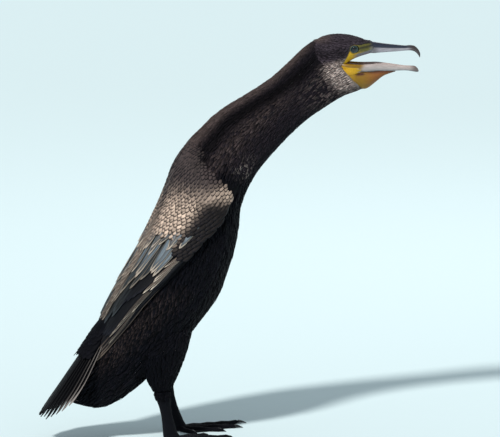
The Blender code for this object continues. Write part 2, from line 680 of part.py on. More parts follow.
def toe(name, number, side, foot_x, where):
    """One toe with its knuckles, flat sole and claw."""
    degrees, length, joints = TOES[number][1:]
    angle = math.radians(degrees)
    across = np.array([side * math.sin(angle), math.cos(angle), 0])
    rows = []
    steps = 2 * joints
    for i in range(steps + 1):
        t = i / steps
        knuckle = math.cos(2 * math.pi * joints * t)
        size = 1 - TOE_TAPER * t
        arch = (TOE_ARCH + TOE_ARCH_STEP * number) * max(0, 1 - t / TOE_ARCH_END)
        distance = TOE_START + (length - TOE_START) * t
        half_width = TOE_HALF_WIDTH * size * (1 + KNUCKLE[0] * knuckle)
        rows.append((distance, half_width, arch, TOE_HEIGHT * size * (1 + KNUCKLE[1] * knuckle)))
    rows += [(length + ahead, half_width, bottom, top) for ahead, half_width, bottom, top in CLAW]
    rings = []
    for distance, half_width, bottom, top in rows:
        middle = toe_line(side, foot_x, degrees, distance)
        outline = [(x, up) for x, up in TOE_CUT] + [(-x, up) for x, up in TOE_CUT[::-1]]
        rings.append([
            middle + across * half_width * x + np.array([0, 0, bottom + (top - bottom) * up]) for x, up in outline
        ])
    return loft(name, rings, where)


def web(name, number, side, foot_x, where):
    """The skin between a toe and the next one, with a hollow front edge."""
    outer, inner = [], []
    first, second = TOES[number], TOES[number + 1]
    for share in WEB_ROWS:
        top, under = [], []
        for t in (0, 0.25, 0.5, 0.75, 1):
            reach = WEB_REACH * share * (1 - WEB_SCALLOP * 4 * t * (1 - t) * share)
            a = toe_line(side, foot_x, first[1], first[2] * reach)
            b = toe_line(side, foot_x, second[1], second[2] * reach)
            low = WEB_CLEAR + WEB_LIFT * (2 * t - 1) ** 2
            middle = a + (b - a) * t
            top.append(middle + np.array([0, 0, low + WEB_THICK]))
            under.append(middle + np.array([0, 0, low]))
        outer.append(top)
        inner.append(under)
    return sheet(name, outer, inner, where)


def build_foot(name, side, foot_x, parts, cutters):
    rings = []
    for z, ahead, half_depth, half_width in HEEL:
        rings.append(oval((foot_x + ahead, side * LEG_SIDE, z), (half_depth, 0, 0), half_width, 14))
    foot = loft(name, rings, parts)
    pieces = [toe("toe", number, side, foot_x, cutters) for number in range(len(TOES))]
    pieces += [web("web", number, side, foot_x, cutters) for number in range(len(TOES) - 1)]
    return combine(foot, pieces, "UNION")


def build_legs(parts, cutters):
    made = []
    for name, (side, ankle_x, ankle_z, foot_x) in LEGS.items():
        made.append(build_thigh("thigh_" + name, side, ankle_x, ankle_z, parts, cutters))
        made.append(build_shank("tarsus_" + name, side, ankle_x, ankle_z, foot_x, parts))
        made.append(build_foot("foot_" + name, side, foot_x, parts, cutters))
    return made


def finish_piece(made, finish, turn):
    """Splits a piece into triangles, turns it with the neck, scales it to metres and gives it its finish."""
    work = bmesh.new()
    work.from_mesh(made.data)
    bmesh.ops.triangulate(work, faces=work.faces)
    points = np.array([vert.co for vert in work.verts])
    if turn:
        points = turned(points)
    for vert, point in zip(work.verts, points * MM):
        vert.co = point
    work.to_mesh(made.data)
    work.free()
    made.data.name = made.name
    made.data.shade_smooth()
    made.data.set_sharp_from_angle(angle=SHARP_ANGLE)
    made.data.materials.clear()
    made.data.materials.append(material(finish))


def stand_on_origin(pieces):
    """Puts the middle of the bird's box over the origin, by an empty that carries every piece."""
    corners = np.array([vert.co for piece in pieces for vert in piece.data.vertices])
    middle = (corners.min(axis=0) + corners.max(axis=0)) / 2
    carrier = bpy.data.objects.new("cormorant", None)
    pieces[0].users_collection[0].objects.link(carrier)
    carrier.location = (-middle[0], -middle[1], -corners[:, 2].min())
    for piece in pieces:
        piece.parent = carrier


def main():
    for old in list(bpy.data.objects):
        bpy.data.objects.remove(old)
    parts = new_collection("cormorant")
    cutters = new_collection("cutters")
    flesh = build_body(parts)
    head, eye_left, eye_right = build_head(parts, cutters)
    upper, lower, pouch = build_jaw(parts, cutters)
    wings = build_wings(parts, cutters)
    tail = build_tail(parts, cutters)
    legs = build_legs(parts, cutters)
    for piece in flesh + [head]:
        finish_piece(piece, "plumage", True)
    for piece in (eye_left, eye_right):
        finish_piece(piece, "eye", True)
    for piece in (upper, lower):
        finish_piece(piece, "horn", True)
    finish_piece(pouch, "bare_skin", True)
    for piece in wings:
        finish_piece(piece, "wing_feather", True)
    finish_piece(tail, "tail_feather", False)
    for piece in legs:
        finish_piece(piece, "plumage" if piece.name.startswith("thigh") else "foot_skin", False)
    stand_on_origin(flesh + [head, eye_left, eye_right, upper, lower, pouch] + wings + [tail] + legs)
    bpy.data.collections.remove(cutters)


main()
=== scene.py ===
"""The looks of a life-size great cormorant: skin, feathers, bill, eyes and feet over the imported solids.

Sizes are in millimetres in the bird's own straight frame, the one that the solids are drawn in: X ahead,
Y to its left, Z up from the floor. world() turns them with the neck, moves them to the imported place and
gives metres. Colours are named by their 0 to 255 values on a screen.
"""

import math

import bpy
import numpy as np
from mathutils import Matrix, Vector
from mathutils.bvhtree import BVHTree
from mathutils.kdtree import KDTree

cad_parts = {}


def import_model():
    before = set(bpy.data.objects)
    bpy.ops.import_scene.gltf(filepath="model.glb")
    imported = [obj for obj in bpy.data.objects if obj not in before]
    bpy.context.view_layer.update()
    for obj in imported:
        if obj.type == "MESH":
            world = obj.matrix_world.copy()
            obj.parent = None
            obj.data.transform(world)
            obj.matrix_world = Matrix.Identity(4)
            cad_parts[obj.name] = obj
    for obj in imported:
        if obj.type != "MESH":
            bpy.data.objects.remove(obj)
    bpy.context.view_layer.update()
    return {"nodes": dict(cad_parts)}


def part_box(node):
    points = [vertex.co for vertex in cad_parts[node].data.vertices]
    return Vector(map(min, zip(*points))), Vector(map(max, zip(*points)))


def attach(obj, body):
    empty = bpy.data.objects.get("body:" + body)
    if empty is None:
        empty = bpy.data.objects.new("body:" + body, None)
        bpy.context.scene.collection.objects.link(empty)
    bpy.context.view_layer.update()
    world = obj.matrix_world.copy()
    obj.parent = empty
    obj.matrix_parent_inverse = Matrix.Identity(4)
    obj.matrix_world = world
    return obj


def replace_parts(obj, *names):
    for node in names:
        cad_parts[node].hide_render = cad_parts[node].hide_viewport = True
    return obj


MM = 0.001
SEED = 7

# The solids' own outline: each station is a slanted cut through throat, neck and trunk.
# back x, back z, belly x, belly z, width
STATIONS = np.array((
    (119.5, 589.4, 190.6, 512.8, 46), (98.7, 573.8, 161.0, 502.6, 54), (76.4, 552.4, 137.3, 488.5, 59),
    (49.5, 529.0, 110.6, 470.7, 62), (12.0, 506.1, 82.4, 445.6, 66), (-26.1, 483.6, 60.0, 422.0, 74),
    (-50.6, 460.7, 43.6, 404.4, 84), (-73.5, 437.7, 31.5, 389.8, 95), (-90.4, 406.9, 21.0, 373.6, 108),
    (-102.7, 363.9, 7.4, 345.5, 126), (-116.4, 328.4, 3.0, 308.5, 140), (-133.3, 293.1, -5.0, 273.0, 148),
    (-150.2, 260.8, -16.0, 243.0, 150), (-170.1, 228.7, -27.6, 211.7, 146), (-188.5, 196.5, -50.6, 181.1, 136),
    (-203.0, 170.5, -81.2, 143.5, 120), (-218.0, 146.5, -118.0, 106.1, 98), (-231.5, 125.0, -154.8, 74.7, 76),
    (-243.0, 105.0, -182.3, 56.4, 54), (-253.0, 88.0, -207.0, 48.0, 38), (-261.0, 74.5, -234.0, 53.0, 22),
    (-265.0, 67.5, -250.0, 59.0, 9),
))
ROUNDNESS = 2.15
TURN_FROM = -30.0
TURN_TO = 120.0
TURN = math.radians(-12)
EYE_X = 178.0
EYE_Z = 573.6
EYE_RISE = 2.5
EYE_SIDE = 15.0
# The dressed eye is a little larger than the solid one, and lies behind it and further out.
EYE_RADIUS = 6.6
EYE_BACK = 2.0
EYE_OUT = 0.6
# x from the eye, top, bottom, width
CRANIUM = np.array((
    (-56, 15.5, -14, 28), (-48, 20.6, -26, 42), (-34, 23.8, -31, 47.5), (-20, 24.2, -28, 46),
    (-12, 23.4, -22.5, 44), (-6, 22.3, -17.2, 42), (2, 20.4, -13.2, 39.5), (10, 17.8, -10.4, 34.5),
    (19, 14, -7.9, 26), (27.5, 10.2, -5.4, 18),
))
# x and z of the ridge, x and z of the cutting edge, half width
UPPER_BILL = np.array((
    (19, 9.4, 19, -4.8, 8.6), (27.2, 10.2, 27.2, -5.3, 9.0), (35, 9, 35, -4.9, 7.8),
    (46, 7.4, 46, -4.3, 6.8), (61, 5.7, 60.5, -3.6, 5.7), (74, 4.3, 72.5, -2.8, 4.8),
    (82, 4.8, 80.5, -2.5, 4.5), (88.5, 3.4, 85.8, -3.3, 4.1), (93.6, -1.4, 89.4, -5.2, 3.2),
    (96.6, -7.2, 92.4, -8.2, 2.2), (96.8, -11.8, 94.7, -11.6, 1.2), (96.3, -13.8, 95.6, -13.7, 0.4),
))
# half of a cut through the upper bill as shares across and up: ridge, side groove, edge and palate
UPPER_BILL_CUT = np.array((
    (0, 1), (0.36, 0.95), (0.68, 0.74), (0.7, 0.56), (0.9, 0.34), (0.96, 0.12), (0.86, -0.02),
    (0.42, 0.14), (0, 0.22),
))
# x, top, bottom, half width, depth of the trough
LOWER_BILL = np.array((
    (-22, -19.7, -30.5, 14.8, 2.5), (-15, -20.2, -31.5, 16.4, 4), (-6, -21.2, -33, 17, 6),
    (6, -22.1, -34, 16, 8), (20, -22.0, -34.1, 13.8, 8), (33, -21.7, -33.4, 11.5, 7),
    (48, -23.1, -33.6, 9.0, 5.6), (62, -24.9, -33.0, 7.0, 4), (74, -26.4, -32.8, 5.6, 2.4),
    (83, -26.8, -33.8, 5.0, 1.4), (89, -27.4, -35.0, 4.3, 0.9), (92.6, -30.0, -35.3, 2.9, 0.5),
    (94.4, -33.0, -34.8, 1.3, 0.3),
))
# half of a cut through the lower bill: share across, share of the way from edge to keel, share of the trough
LOWER_BILL_CUT = np.array((
    (0, 0, 1), (0.35, 0, 0.97), (0.6, 0, 0.6), (0.74, 0, 0.1), (0.86, -0.03, 0), (0.97, 0.08, 0),
    (1.02, 0.28, 0), (0.98, 0.55, 0), (0.84, 0.84, 0), (0.45, 1, 0), (0, 1, 0),
))
# x, top, bottom, width
POUCH = np.array((
    (-24, -24, -36, 34), (-17, -24, -41, 39), (-11, -25, -46.5, 40), (-4, -27, -52, 38),
    (4, -29, -56.6, 36), (12, -30, -60, 33), (20, -30, -58, 29), (31, -30, -49.5, 23.5),
    (42, -30, -41, 17), (52, -30.2, -37, 12), (60, -30.5, -34.6, 7),
))
# The feathers end along this line, which runs from the bill round the eye and down behind the gape. x and z
# from the middle of the solid eye
FACE_EDGE = np.array((
    (34, 14), (25, 8.2), (14, 6.4), (6, 5.8), (1.5, 6.3), (-2.5, 6.5), (-6.8, 4.4), (-8.4, 0.6),
    (-8.8, -4.5), (-10.5, -9), (-13.5, -14.5), (-17, -21), (-18.2, -26.2), (-17, -29.2), (-8.6, -38.2),
    (-3.5, -47.2), (4.2, -55.3), (12, -60), (40, -80), (80, -80), (80, 14),
))

# The folded wing lies on the trunk. station, angle of its lower edge round the trunk from the back
LOWER_EDGE = ((8.2, 124), (8.5, 120), (9.1, 113), (10.3, 89), (11.8, 70), (13.5, 53), (15.3, 44), (17.2, 42))
INNER_EDGE_DEG = 3.0
# station, height of the wing's feathers over the trunk
WING_TOP = (
    (6.6, -0.6), (7.4, 0.4), (8.0, 1.4), (8.5, 3.8), (9.0, 6.4), (10, 8.6), (11, 9.0), (12, 9.6),
    (13, 10), (14, 9.4), (15, 7.6), (16, 5.4), (17.2, 3.4),
)
# place across the wing, share of that height
WING_PROFILE = ((0, 0.5), (0.2, 0.66), (0.5, 0.92), (0.72, 1.0), (0.94, 0.86), (1, 0.72))
# stations of the first and the last row of the scale feathers, and their spacing by station
SCALE_ROWS = (6.6, 10.9)
SCALE_SPACING = ((6.6, 4.2), (8.2, 5.8), (9.4, 7.0), (10.8, 7.6))
# stations, and the place across that the scale feathers reach there
SCALE_LIMIT = ((6.6, 7.4, 8.0, 8.4), (0.3, 0.48, 0.76, 0.97))

TAIL_ROOT = (-206.0, 176.0)
TAIL_SLOPE = math.radians(235.0)
TAIL_FEATHERS = 14
TAIL_LENGTH = 166.0
TAIL_SHORTEN = 34.0
TAIL_ROOT_HALF = 16.0
TAIL_FAN = math.radians(14.5)
TAIL_TENT = 11.5
TAIL_DROOP = 6.0

LEG_SIDE = 42.0
# side, x and z of the ankle, x where the toes meet
LEGS = {"right": (-1, -122.5, 77.0, -111.0), "left": (1, -97.0, 77.0, -79.0)}
HIP_X = -122.5
THIGH_ROWS = (0, 6)
# The thigh leans from the ankle to the hip: share of the way that it goes, and the height where it has gone it
THIGH_LEAN = 0.8
THIGH_RISE = 98.0
# front x and z, back x and z, width, how far it lies inward. x from the leaning line, z from the ankle
THIGH = np.array((
    (52, 112, -30, 84, 46, 7), (46, 82, -31, 56, 46, 3), (38, 56, -30, 36, 40, 0), (31, 37, -27, 24, 33, 0),
    (24, 20, -23, 13, 26, 0), (17, 7, -17, 3, 19, 0), (13.5, -1, -13.5, -3, 15.5, 0),
))
# toe, degrees inward from straight ahead, reach
TOES = (("outer", -17, 104), ("middle", 2, 88), ("inner", 23, 64), ("hind", 62, 37))

# The camera's place in the photograph, which is 500 by 437 pixels
AZIMUTH = -15
ELEVATION = 10
CAMERA_AWAY = 30000.0
PIXEL = 1.48              # millimetres a pixel at the bird
PHOTO = (500, 437)
FRAME_ORIGIN = (235, 433) # the pixel of the straight frame's zero


def screen(red, green, blue):
    """A colour by its values on a screen, as the light that the shaders work with."""
    share = np.array((red, green, blue)) / 255
    return np.where(share <= 0.04045, share / 12.92, ((share + 0.055) / 1.055) ** 2.4)


BLACK = screen(6, 6, 10)
NECK = screen(19, 17, 24)
NECK_EDGE = screen(42, 36, 42)
NAPE = screen(106, 91, 88)
CROWN = screen(68, 60, 68)
CHEEK = screen(200, 182, 174)
CHEEK_EDGE = screen(96, 80, 80)
TAN = screen(208, 184, 166)
TAN_EDGE = screen(36, 30, 32)
BREAST = screen(4, 5, 11)
BREAST_EDGE = screen(13, 13, 20)
FLANK_EDGE = screen(58, 49, 48)
SLATE = screen(112, 124, 134)
BUFF = screen(204, 188, 172)
BROWN = screen(118, 102, 92)
QUILL = screen(8, 9, 15)
QUILL_EDGE = screen(124, 116, 112)
TAIL_DARK = screen(6, 6, 9)
TAIL_WORN = screen(150, 142, 138)
YELLOW = screen(222, 172, 14)
OCHRE = screen(142, 104, 6)
ORANGE = screen(142, 84, 30)
OLIVE = screen(140, 132, 52)
LORE_DARK = screen(30, 27, 22)
RUST = screen(138, 66, 42)
# The pouch's fold: partly the skin's own dark red-brown, partly painted shade in the crease.
FOLD_SHADE = screen(70, 26, 14)
BILL_BLUE = screen(28, 34, 54)
BILL_PALE = screen(150, 148, 156)
BILL_PINK = screen(186, 172, 168)
BILL_TIP = screen(88, 72, 68)
FOOT = screen(7, 8, 15)
CLAW = screen(10, 10, 11)

# The neck's furrow: a groove carved into the skin, with painted shade in it. station, its angle from the back,
# its strength
FURROW = (
    (-9, 58, 0), (0, 58, 0), (0.8, 58, 0.8), (1.7, 60, 1), (3.8, 50, 1), (5.6, 44, 1), (7.0, 50, 0.8),
    (7.9, 50, 0),
)
FURROW_WIDTH = 15
FURROW_DEPTH = 2.4


def turned(points):
    """The neck's turn to the bird's right, on points of the straight frame."""
    points = np.asarray(points, float)
    flat = points.reshape(-1, 3)
    heading = TURN * np.clip((flat[:, 0] - TURN_FROM) / (TURN_TO - TURN_FROM), 0, 1)
    radius = (TURN_TO - TURN_FROM) / TURN
    past = np.maximum(flat[:, 0] - TURN_TO, 0)
    x = np.minimum(flat[:, 0], TURN_FROM) + radius * np.sin(heading) + past * math.cos(TURN)
    y = radius * (1 - np.cos(heading)) + past * math.sin(TURN)
    moved = np.column_stack([x - flat[:, 1] * np.sin(heading), y + flat[:, 1] * np.cos(heading), flat[:, 2]])
    return moved.reshape(points.shape)


def packed_shift():
    """Where the straight frame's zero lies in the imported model, found from the eyes."""
    corners = [corner for side in ("left", "right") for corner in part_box("eye_" + side)]
    return np.mean(corners, axis=0) / MM - turned([[EYE_X, 0, EYE_Z + EYE_RISE]])[0]


def world(points):
    return (turned(points) + SHIFT) * MM


def read_rows(rows, at):
    """A smooth curve through evenly numbered rows, read at fractional row numbers."""
    at = np.asarray(at, float)
    low = np.clip(np.floor(at).astype(int), 0, len(rows) - 2)
    t = (at - low)[..., None]
    padded = np.vstack([2 * rows[0] - rows[1], rows, 2 * rows[-1] - rows[-2]])
    before, a, b, after = (padded[low + i] for i in range(4))
    bend = (2 * before - 5 * a + 4 * b - after) * t**2 + (3 * a - before - 3 * b + after) * t**3
    return 0.5 * (2 * a + (b - before) * t + bend)


def between(table, at):
    return np.interp(at, [row[0] for row in table], [row[1] for row in table])


def on_oval(centre, up, half_width, angle, power):
    """Points round a cut by their angle from its top. The last axis of centre and up is x, z."""
    c, s = np.cos(angle), np.sin(angle)
    across = np.sign(s) * np.abs(s) ** (2 / power) * half_width
    above = np.sign(c) * np.abs(c) ** (2 / power)
    return np.stack([centre[..., 0] + up[..., 0] * above, across, centre[..., 1] + up[..., 1] * above], axis=-1)


def off_back(angle):
    """The angle from the middle of the back, either way round."""
    return np.abs((angle + math.pi) % (2 * math.pi) - math.pi)


def furrow(station, angle):
    """Strength of the neck's furrow at places on the neck. It sets the groove's depth and the painted shade in
    it.
    """
    rows = np.array(FURROW)
    middle, strength = (np.interp(station, rows[:, 0], rows[:, i]) for i in (1, 2))
    return strength * np.exp(-(((np.degrees(off_back(angle)) - middle) / FURROW_WIDTH) ** 2))


def body_point(station, angle):
    """Points on the neck and trunk, where angle 0 is the middle of the back and a right angle the left side."""
    row = read_rows(STATIONS, station)
    centre = (row[..., 0:2] + row[..., 2:4]) / 2
    return on_oval(centre, (row[..., 0:2] - row[..., 2:4]) / 2, row[..., 4] / 2, angle, ROUNDNESS)


def cranium_point(row_number, angle):
    row = read_rows(CRANIUM, row_number)
    centre = np.stack([EYE_X + row[..., 0], EYE_Z + (row[..., 1] + row[..., 2]) / 2], axis=-1)
    up = np.stack([0 * row[..., 0], (row[..., 1] - row[..., 2]) / 2], axis=-1)
    return on_oval(centre, up, row[..., 3] / 2, angle, 2.1)


def thigh_point(leg):
    """The surface of one thigh as a function of its row number, counted down the leg, and angle."""
    side, ankle_x, ankle_z, _ = LEGS[leg]

    def point(row_number, angle):
        front_x, front_z, back_x, back_z, width, inward = np.moveaxis(read_rows(THIGH, row_number), -1, 0)
        height = (front_z + back_z) / 2
        x = ankle_x + (HIP_X - ankle_x) * THIGH_LEAN * np.clip(height / THIGH_RISE, 0, 1)
        centre = np.stack([x + (front_x + back_x) / 2, ankle_z + height], axis=-1)
        up = np.stack([(front_x - back_x) / 2, (front_z - back_z) / 2], axis=-1)
        found = on_oval(centre, up, width / 2, angle, 2.0)
        found[..., 1] += side * (LEG_SIDE - inward)
        return found

    return point


def slopes(surface, row, angle, step=0.02):
    """Changes of a surface's point for one row and one radian."""
    down = (surface(row + step, angle) - surface(row - step, angle)) / (2 * step)
    around = (surface(row, angle + step) - surface(row, angle - step)) / (2 * step)
    return down, around


def unit(vectors):
    return vectors / np.maximum(np.linalg.norm(vectors, axis=-1, keepdims=True), 1e-9)


def lifted(station, angle, lift):
    """Points at a height over the trunk."""
    down, around = slopes(body_point, station, angle)
    return body_point(station, angle) + unit(np.cross(around, down)) * np.asarray(lift)[..., None]


def mix(a, b, share):
    share = np.asarray(share, float)[..., None]
    return a + (b - a) * share


def smooth(low, high, values):
    """A soft step from 0 at low to 1 at high. It falls where low is the larger."""
    t = np.clip((values - low) / (high - low), 0, 1)
    return t * t * (3 - 2 * t)


def edge_distance(points, outline):
    """Distance to an outline in its own plane, positive inside."""
    best = np.full(len(points), 1e9)
    inside = np.zeros(len(points), bool)
    for a, b in zip(outline, np.roll(outline, -1, axis=0)):
        run = b - a
        t = np.clip(((points - a) @ run) / (run @ run), 0, 1)
        best = np.minimum(best, np.linalg.norm(points - a - t[:, None] * run, axis=1))
        crosses = (a[1] > points[:, 1]) != (b[1] > points[:, 1])
        with np.errstate(divide="ignore", invalid="ignore"):
            inside ^= crosses & (points[:, 0] < a[0] + run[0] * (points[:, 1] - a[1]) / run[1])
    return np.where(inside, best, -best)


def straight(points):
    """Packed places in metres back in the straight frame, in millimetres. It undoes world()."""
    moved = np.asarray(points, float) / MM - SHIFT
    radius = (TURN_TO - TURN_FROM) / TURN
    heading = np.arctan2(moved[:, 0] - TURN_FROM, -(moved[:, 1] - radius) * np.sign(radius)) * np.sign(TURN)
    heading = np.where(TURN < 0, -np.abs(heading) * np.sign(moved[:, 0] - TURN_FROM), heading)
    heading = np.clip(heading, TURN, 0)
    origin_x = TURN_FROM + radius * np.sin(heading)
    origin_y = radius * (1 - np.cos(heading))
    c, s = np.cos(heading), np.sin(heading)
    ahead = (moved[:, 0] - origin_x) * c + (moved[:, 1] - origin_y) * s
    aside = -(moved[:, 0] - origin_x) * s + (moved[:, 1] - origin_y) * c
    return np.column_stack([TURN_FROM + heading / TURN * (TURN_TO - TURN_FROM) + ahead, aside, moved[:, 2]])


def from_eye(points):
    """x and z from the middle of the solid eye, for points of the straight frame."""
    return points[:, [0, 2]] - (EYE_X, EYE_Z + EYE_RISE)


def face_depth(points):
    """How far inside the bare face a point of the straight frame lies, in millimetres."""
    return edge_distance(from_eye(points), FACE_EDGE)


def mesh_piece(name, points, faces, finish, smooth_shaded=True):
    """A mesh object from points in metres and faces."""
    mesh = bpy.data.meshes.new(name)
    mesh.from_pydata([tuple(p) for p in points], [], faces)
    mesh.update()
    made = bpy.data.objects.new(name, mesh)
    bpy.context.scene.collection.objects.link(made)
    mesh.materials.append(finish)
    if smooth_shaded:
        mesh.shade_smooth()
    return made


def dress(made, slot, *replaced):
    """Fastens a piece to the bird and hides the imported nodes that it stands for. Its slot is not used."""
    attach(made, "root")
    if replaced:
        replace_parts(made, *replaced)
    return made


def paint(mesh, name, colours):
    """Stores a colour for each point of a mesh."""
    layer = mesh.attributes.new(name, "FLOAT_COLOR", "POINT")
    layer.data.foreach_set("color", np.column_stack([colours, np.ones(len(colours))]).ravel())


def points_of(mesh):
    found = np.empty(len(mesh.vertices) * 3)
    mesh.vertices.foreach_get("co", found)
    return found.reshape(-1, 3)


def grid_faces(rows, columns, closed):
    """Quads between rows of points, closed round the columns or open."""
    faces = []
    for r in range(rows - 1):
        for c in range(columns if closed else columns - 1):
            a, b = r * columns + c, r * columns + (c + 1) % columns
            faces.append((a, b, b + columns, a + columns))
    return faces


def capped_faces(rows, columns):
    """Quads of a closed tube and the two faces that end it."""
    ends = [tuple(range(columns))[::-1], tuple((rows - 1) * columns + i for i in range(columns))]
    return grid_faces(rows, columns, True) + ends


def spread(across, along):
    """Places on the unwrap for shares across and along a tract."""
    return np.column_stack([0.02 + 0.96 * (across % 1), 0.02 + 0.96 * along])


def side_word(side):
    return "left" if side > 0 else "right"


# Materials

def new_material(name, roughness, **sockets):
    made = bpy.data.materials.new(name)
    made.use_nodes = True
    shader = made.node_tree.nodes["Principled BSDF"]
    shader.inputs["Roughness"].default_value = roughness
    for socket, value in sockets.items():
        shader.inputs[socket.replace("_", " ")].default_value = value
    return made


def feed(tree, socket, value):
    """Links a node's output to a socket, or sets the socket to a value."""
    if isinstance(value, bpy.types.NodeSocket):
        tree.links.new(value, socket)
    else:
        socket.default_value = value


def add(tree, kind, **values):
    """A node with its settings. A name that is one of its inputs sets that input, or links it."""
    node = tree.nodes.new(kind)
    for name, value in values.items():
        socket = node.inputs.get(name.replace("_", " ")) if name[0].isupper() else None
        if socket is None:
            setattr(node, name, value)
        else:
            feed(tree, socket, value)
    return node


def calculate(tree, operation, *values):
    node = tree.nodes.new("ShaderNodeMath")
    node.operation = operation
    for socket, value in zip(node.inputs, values):
        feed(tree, socket, value)
    return node.outputs[0]


def stored(tree, name, output="Color"):
    """A value that the mesh holds for each of its points."""
    return add(tree, "ShaderNodeAttribute", attribute_name=name).outputs[output]


def blend_colours(tree, share, a, b, how="MIX"):
    node = tree.nodes.new("ShaderNodeMix")
    node.data_type = "RGBA"
    node.blend_type = how
    for socket, value in ((node.inputs[0], share), (node.inputs[6], a), (node.inputs[7], b)):
        feed(tree, socket, value)
    return node.outputs[2]


def ramp(tree, value, *stops):
    """A ramp of grey values: each stop is a place and its value."""
    node = tree.nodes.new("ShaderNodeValToRGB")
    tree.links.new(value, node.inputs[0])
    while len(node.color_ramp.elements) < len(stops):
        node.color_ramp.elements.new(0.5)
    for element, (place, grey) in zip(node.color_ramp.elements, stops):
        element.position = place
        element.color = (grey, grey, grey, 1)
    return node.outputs[0]


def bump(tree, height, strength, distance):
    node = add(tree, "ShaderNodeBump", Strength=strength, Distance=distance, Height=height)
    tree.links.new(node.outputs[0], tree.nodes["Principled BSDF"].inputs["Normal"])


def to_shader(tree, colour):
    tree.links.new(colour, tree.nodes["Principled BSDF"].inputs["Base Color"])


def feather_material(name, roughness, edge_from, edge_to, shaft, barb=0.35, pale_shaft=False, vane_shade=0.0,
                     **sockets):
    """Feathers: the colour of the middle, that of the rim, a shaft and the fine lines of the barbs.

    A painted shade darkens each vane from its middle towards its rim, where its curved sides turn from the
    light; the argument after pale_shaft sets its strength.
    """
    made = new_material(name, roughness, **sockets)
    tree = made.node_tree
    vane = tree.nodes.new("ShaderNodeUVMap")
    vane.uv_map = "Vane"
    split = tree.nodes.new("ShaderNodeSeparateXYZ")
    tree.links.new(vane.outputs[0], split.inputs[0])
    across = calculate(tree, "ABSOLUTE", calculate(tree, "MULTIPLY_ADD", split.outputs[0], 2.0, -1.0))
    end = calculate(tree, "MAXIMUM", calculate(tree, "MULTIPLY_ADD", split.outputs[1], 2.4, -1.4), 0.0)
    round_it = calculate(tree, "SQRT", calculate(
        tree, "ADD", calculate(tree, "MULTIPLY", across, across), calculate(tree, "MULTIPLY", end, end)
    ))
    wander = add(tree, "ShaderNodeTexNoise", Scale=420.0, Detail=2.0)
    uneven = calculate(tree, "MULTIPLY_ADD", wander.outputs[0], 0.3, -0.15)
    rim = ramp(tree, calculate(tree, "ADD", round_it, uneven), (edge_from, 0.0), (edge_to, 1.0))
    centre, edge = stored(tree, "Centre"), stored(tree, "Edge")
    # Painted shade: the vane darkens from its lit middle towards its rim.
    vane_shade_mask = ramp(tree, round_it, (0.25, 0.0), (0.75, vane_shade))
    inner = blend_colours(tree, vane_shade_mask, centre, (0, 0, 0, 1))
    colour = blend_colours(tree, rim, inner, edge)
    middle = ramp(tree, across, (0.03, shaft), (0.09, 0.0))
    shaft_colour = edge if pale_shaft else (0.004, 0.003, 0.003, 1)
    colour = blend_colours(tree, middle, colour, shaft_colour)
    lean = calculate(tree, "MULTIPLY_ADD", across, -0.22, split.outputs[1])
    lines = calculate(tree, "SINE", calculate(tree, "MULTIPLY", lean, 190.0))
    fray = add(tree, "ShaderNodeTexNoise", Scale=900.0, Detail=3.0)
    grain = calculate(tree, "ADD", calculate(tree, "MULTIPLY", lines, 0.5), fray.outputs[0])
    colour = blend_colours(tree, barb, colour, ramp(tree, grain, (0.1, 0.35), (0.9, 1.0)), "MULTIPLY")
    to_shader(tree, colour)
    bump(tree, grain, 0.3, 0.0003)
    return made


def skin_material():
    """Bare skin with fine warts, and the plumage's ground colour under the feathers."""
    made = new_material("skin", 0.55, Specular_IOR_Level=0.4)
    tree = made.node_tree
    colour = stored(tree, "Centre")
    warts = add(tree, "ShaderNodeTexVoronoi", Scale=900.0)
    soft = add(tree, "ShaderNodeTexNoise", Scale=260.0, Detail=4.0)
    shade = ramp(tree, soft.outputs[0], (0.3, 0.62), (0.62, 1.0))
    to_shader(tree, blend_colours(tree, 0.8, colour, shade, "MULTIPLY"))
    bump(tree, calculate(tree, "ADD", warts.outputs["Distance"], soft.outputs[0]), 0.5, 0.0005)
    return made


def horn_material():
    """Bill horn: its colour comes from the shape, with fine lengthwise growth lines."""
    made = new_material("horn", 0.34, Coat_Weight=0.25, Coat_Roughness=0.25)
    tree = made.node_tree
    colour = stored(tree, "Centre")
    place = tree.nodes.new("ShaderNodeTexCoord")
    stretched = add(tree, "ShaderNodeMapping", Vector=place.outputs["Object"])
    stretched.inputs["Rotation"].default_value = (0, 0, -TURN)
    stretched.inputs["Scale"].default_value = (90, 700, 700)
    grain = add(tree, "ShaderNodeTexNoise", Vector=stretched.outputs[0], Scale=1.0, Detail=5.0)
    shade = ramp(tree, grain.outputs[0], (0.3, 0.6), (0.65, 1.0))
    to_shader(tree, blend_colours(tree, 0.75, colour, shade, "MULTIPLY"))
    bump(tree, grain.outputs[0], 0.25, 0.0004)
    return made


def scaly_material():
    """The skin of shins, toes and webs, in small plates."""
    made = new_material("foot_skin", 0.6, Specular_IOR_Level=0.1)
    tree = made.node_tree
    plates = add(tree, "ShaderNodeTexVoronoi", Scale=330.0, feature="DISTANCE_TO_EDGE")
    fine = add(tree, "ShaderNodeTexNoise", Scale=500.0, Detail=4.0)
    joint = ramp(tree, plates.outputs["Distance"], (0.0, 0.0), (0.12, 1.0))
    tint = ramp(tree, fine.outputs[0], (0.35, 0.55), (0.65, 1.0))
    light = blend_colours(tree, tint, (*FOOT * 0.6, 1), (*FOOT * 1.7, 1))
    to_shader(tree, blend_colours(tree, calculate(tree, "SUBTRACT", 1.0, joint), light, (*FOOT * 0.4, 1)))
    bump(tree, calculate(tree, "MULTIPLY_ADD", fine.outputs[0], 0.3, joint), 0.55, 0.0006)
    return made


def plain_material(name, colour, roughness, **sockets):
    """A finish of one hue, a little uneven in tone."""
    made = new_material(name, roughness, **sockets)
    tree = made.node_tree
    noise = add(tree, "ShaderNodeTexNoise", Scale=600.0, Detail=3.0)
    shade = ramp(tree, noise.outputs[0], (0.3, 0.7), (0.7, 1.0))
    to_shader(tree, blend_colours(tree, 1.0, (*colour, 1), shade, "MULTIPLY"))
    bump(tree, noise.outputs[0], 0.2, 0.0003)
    return made


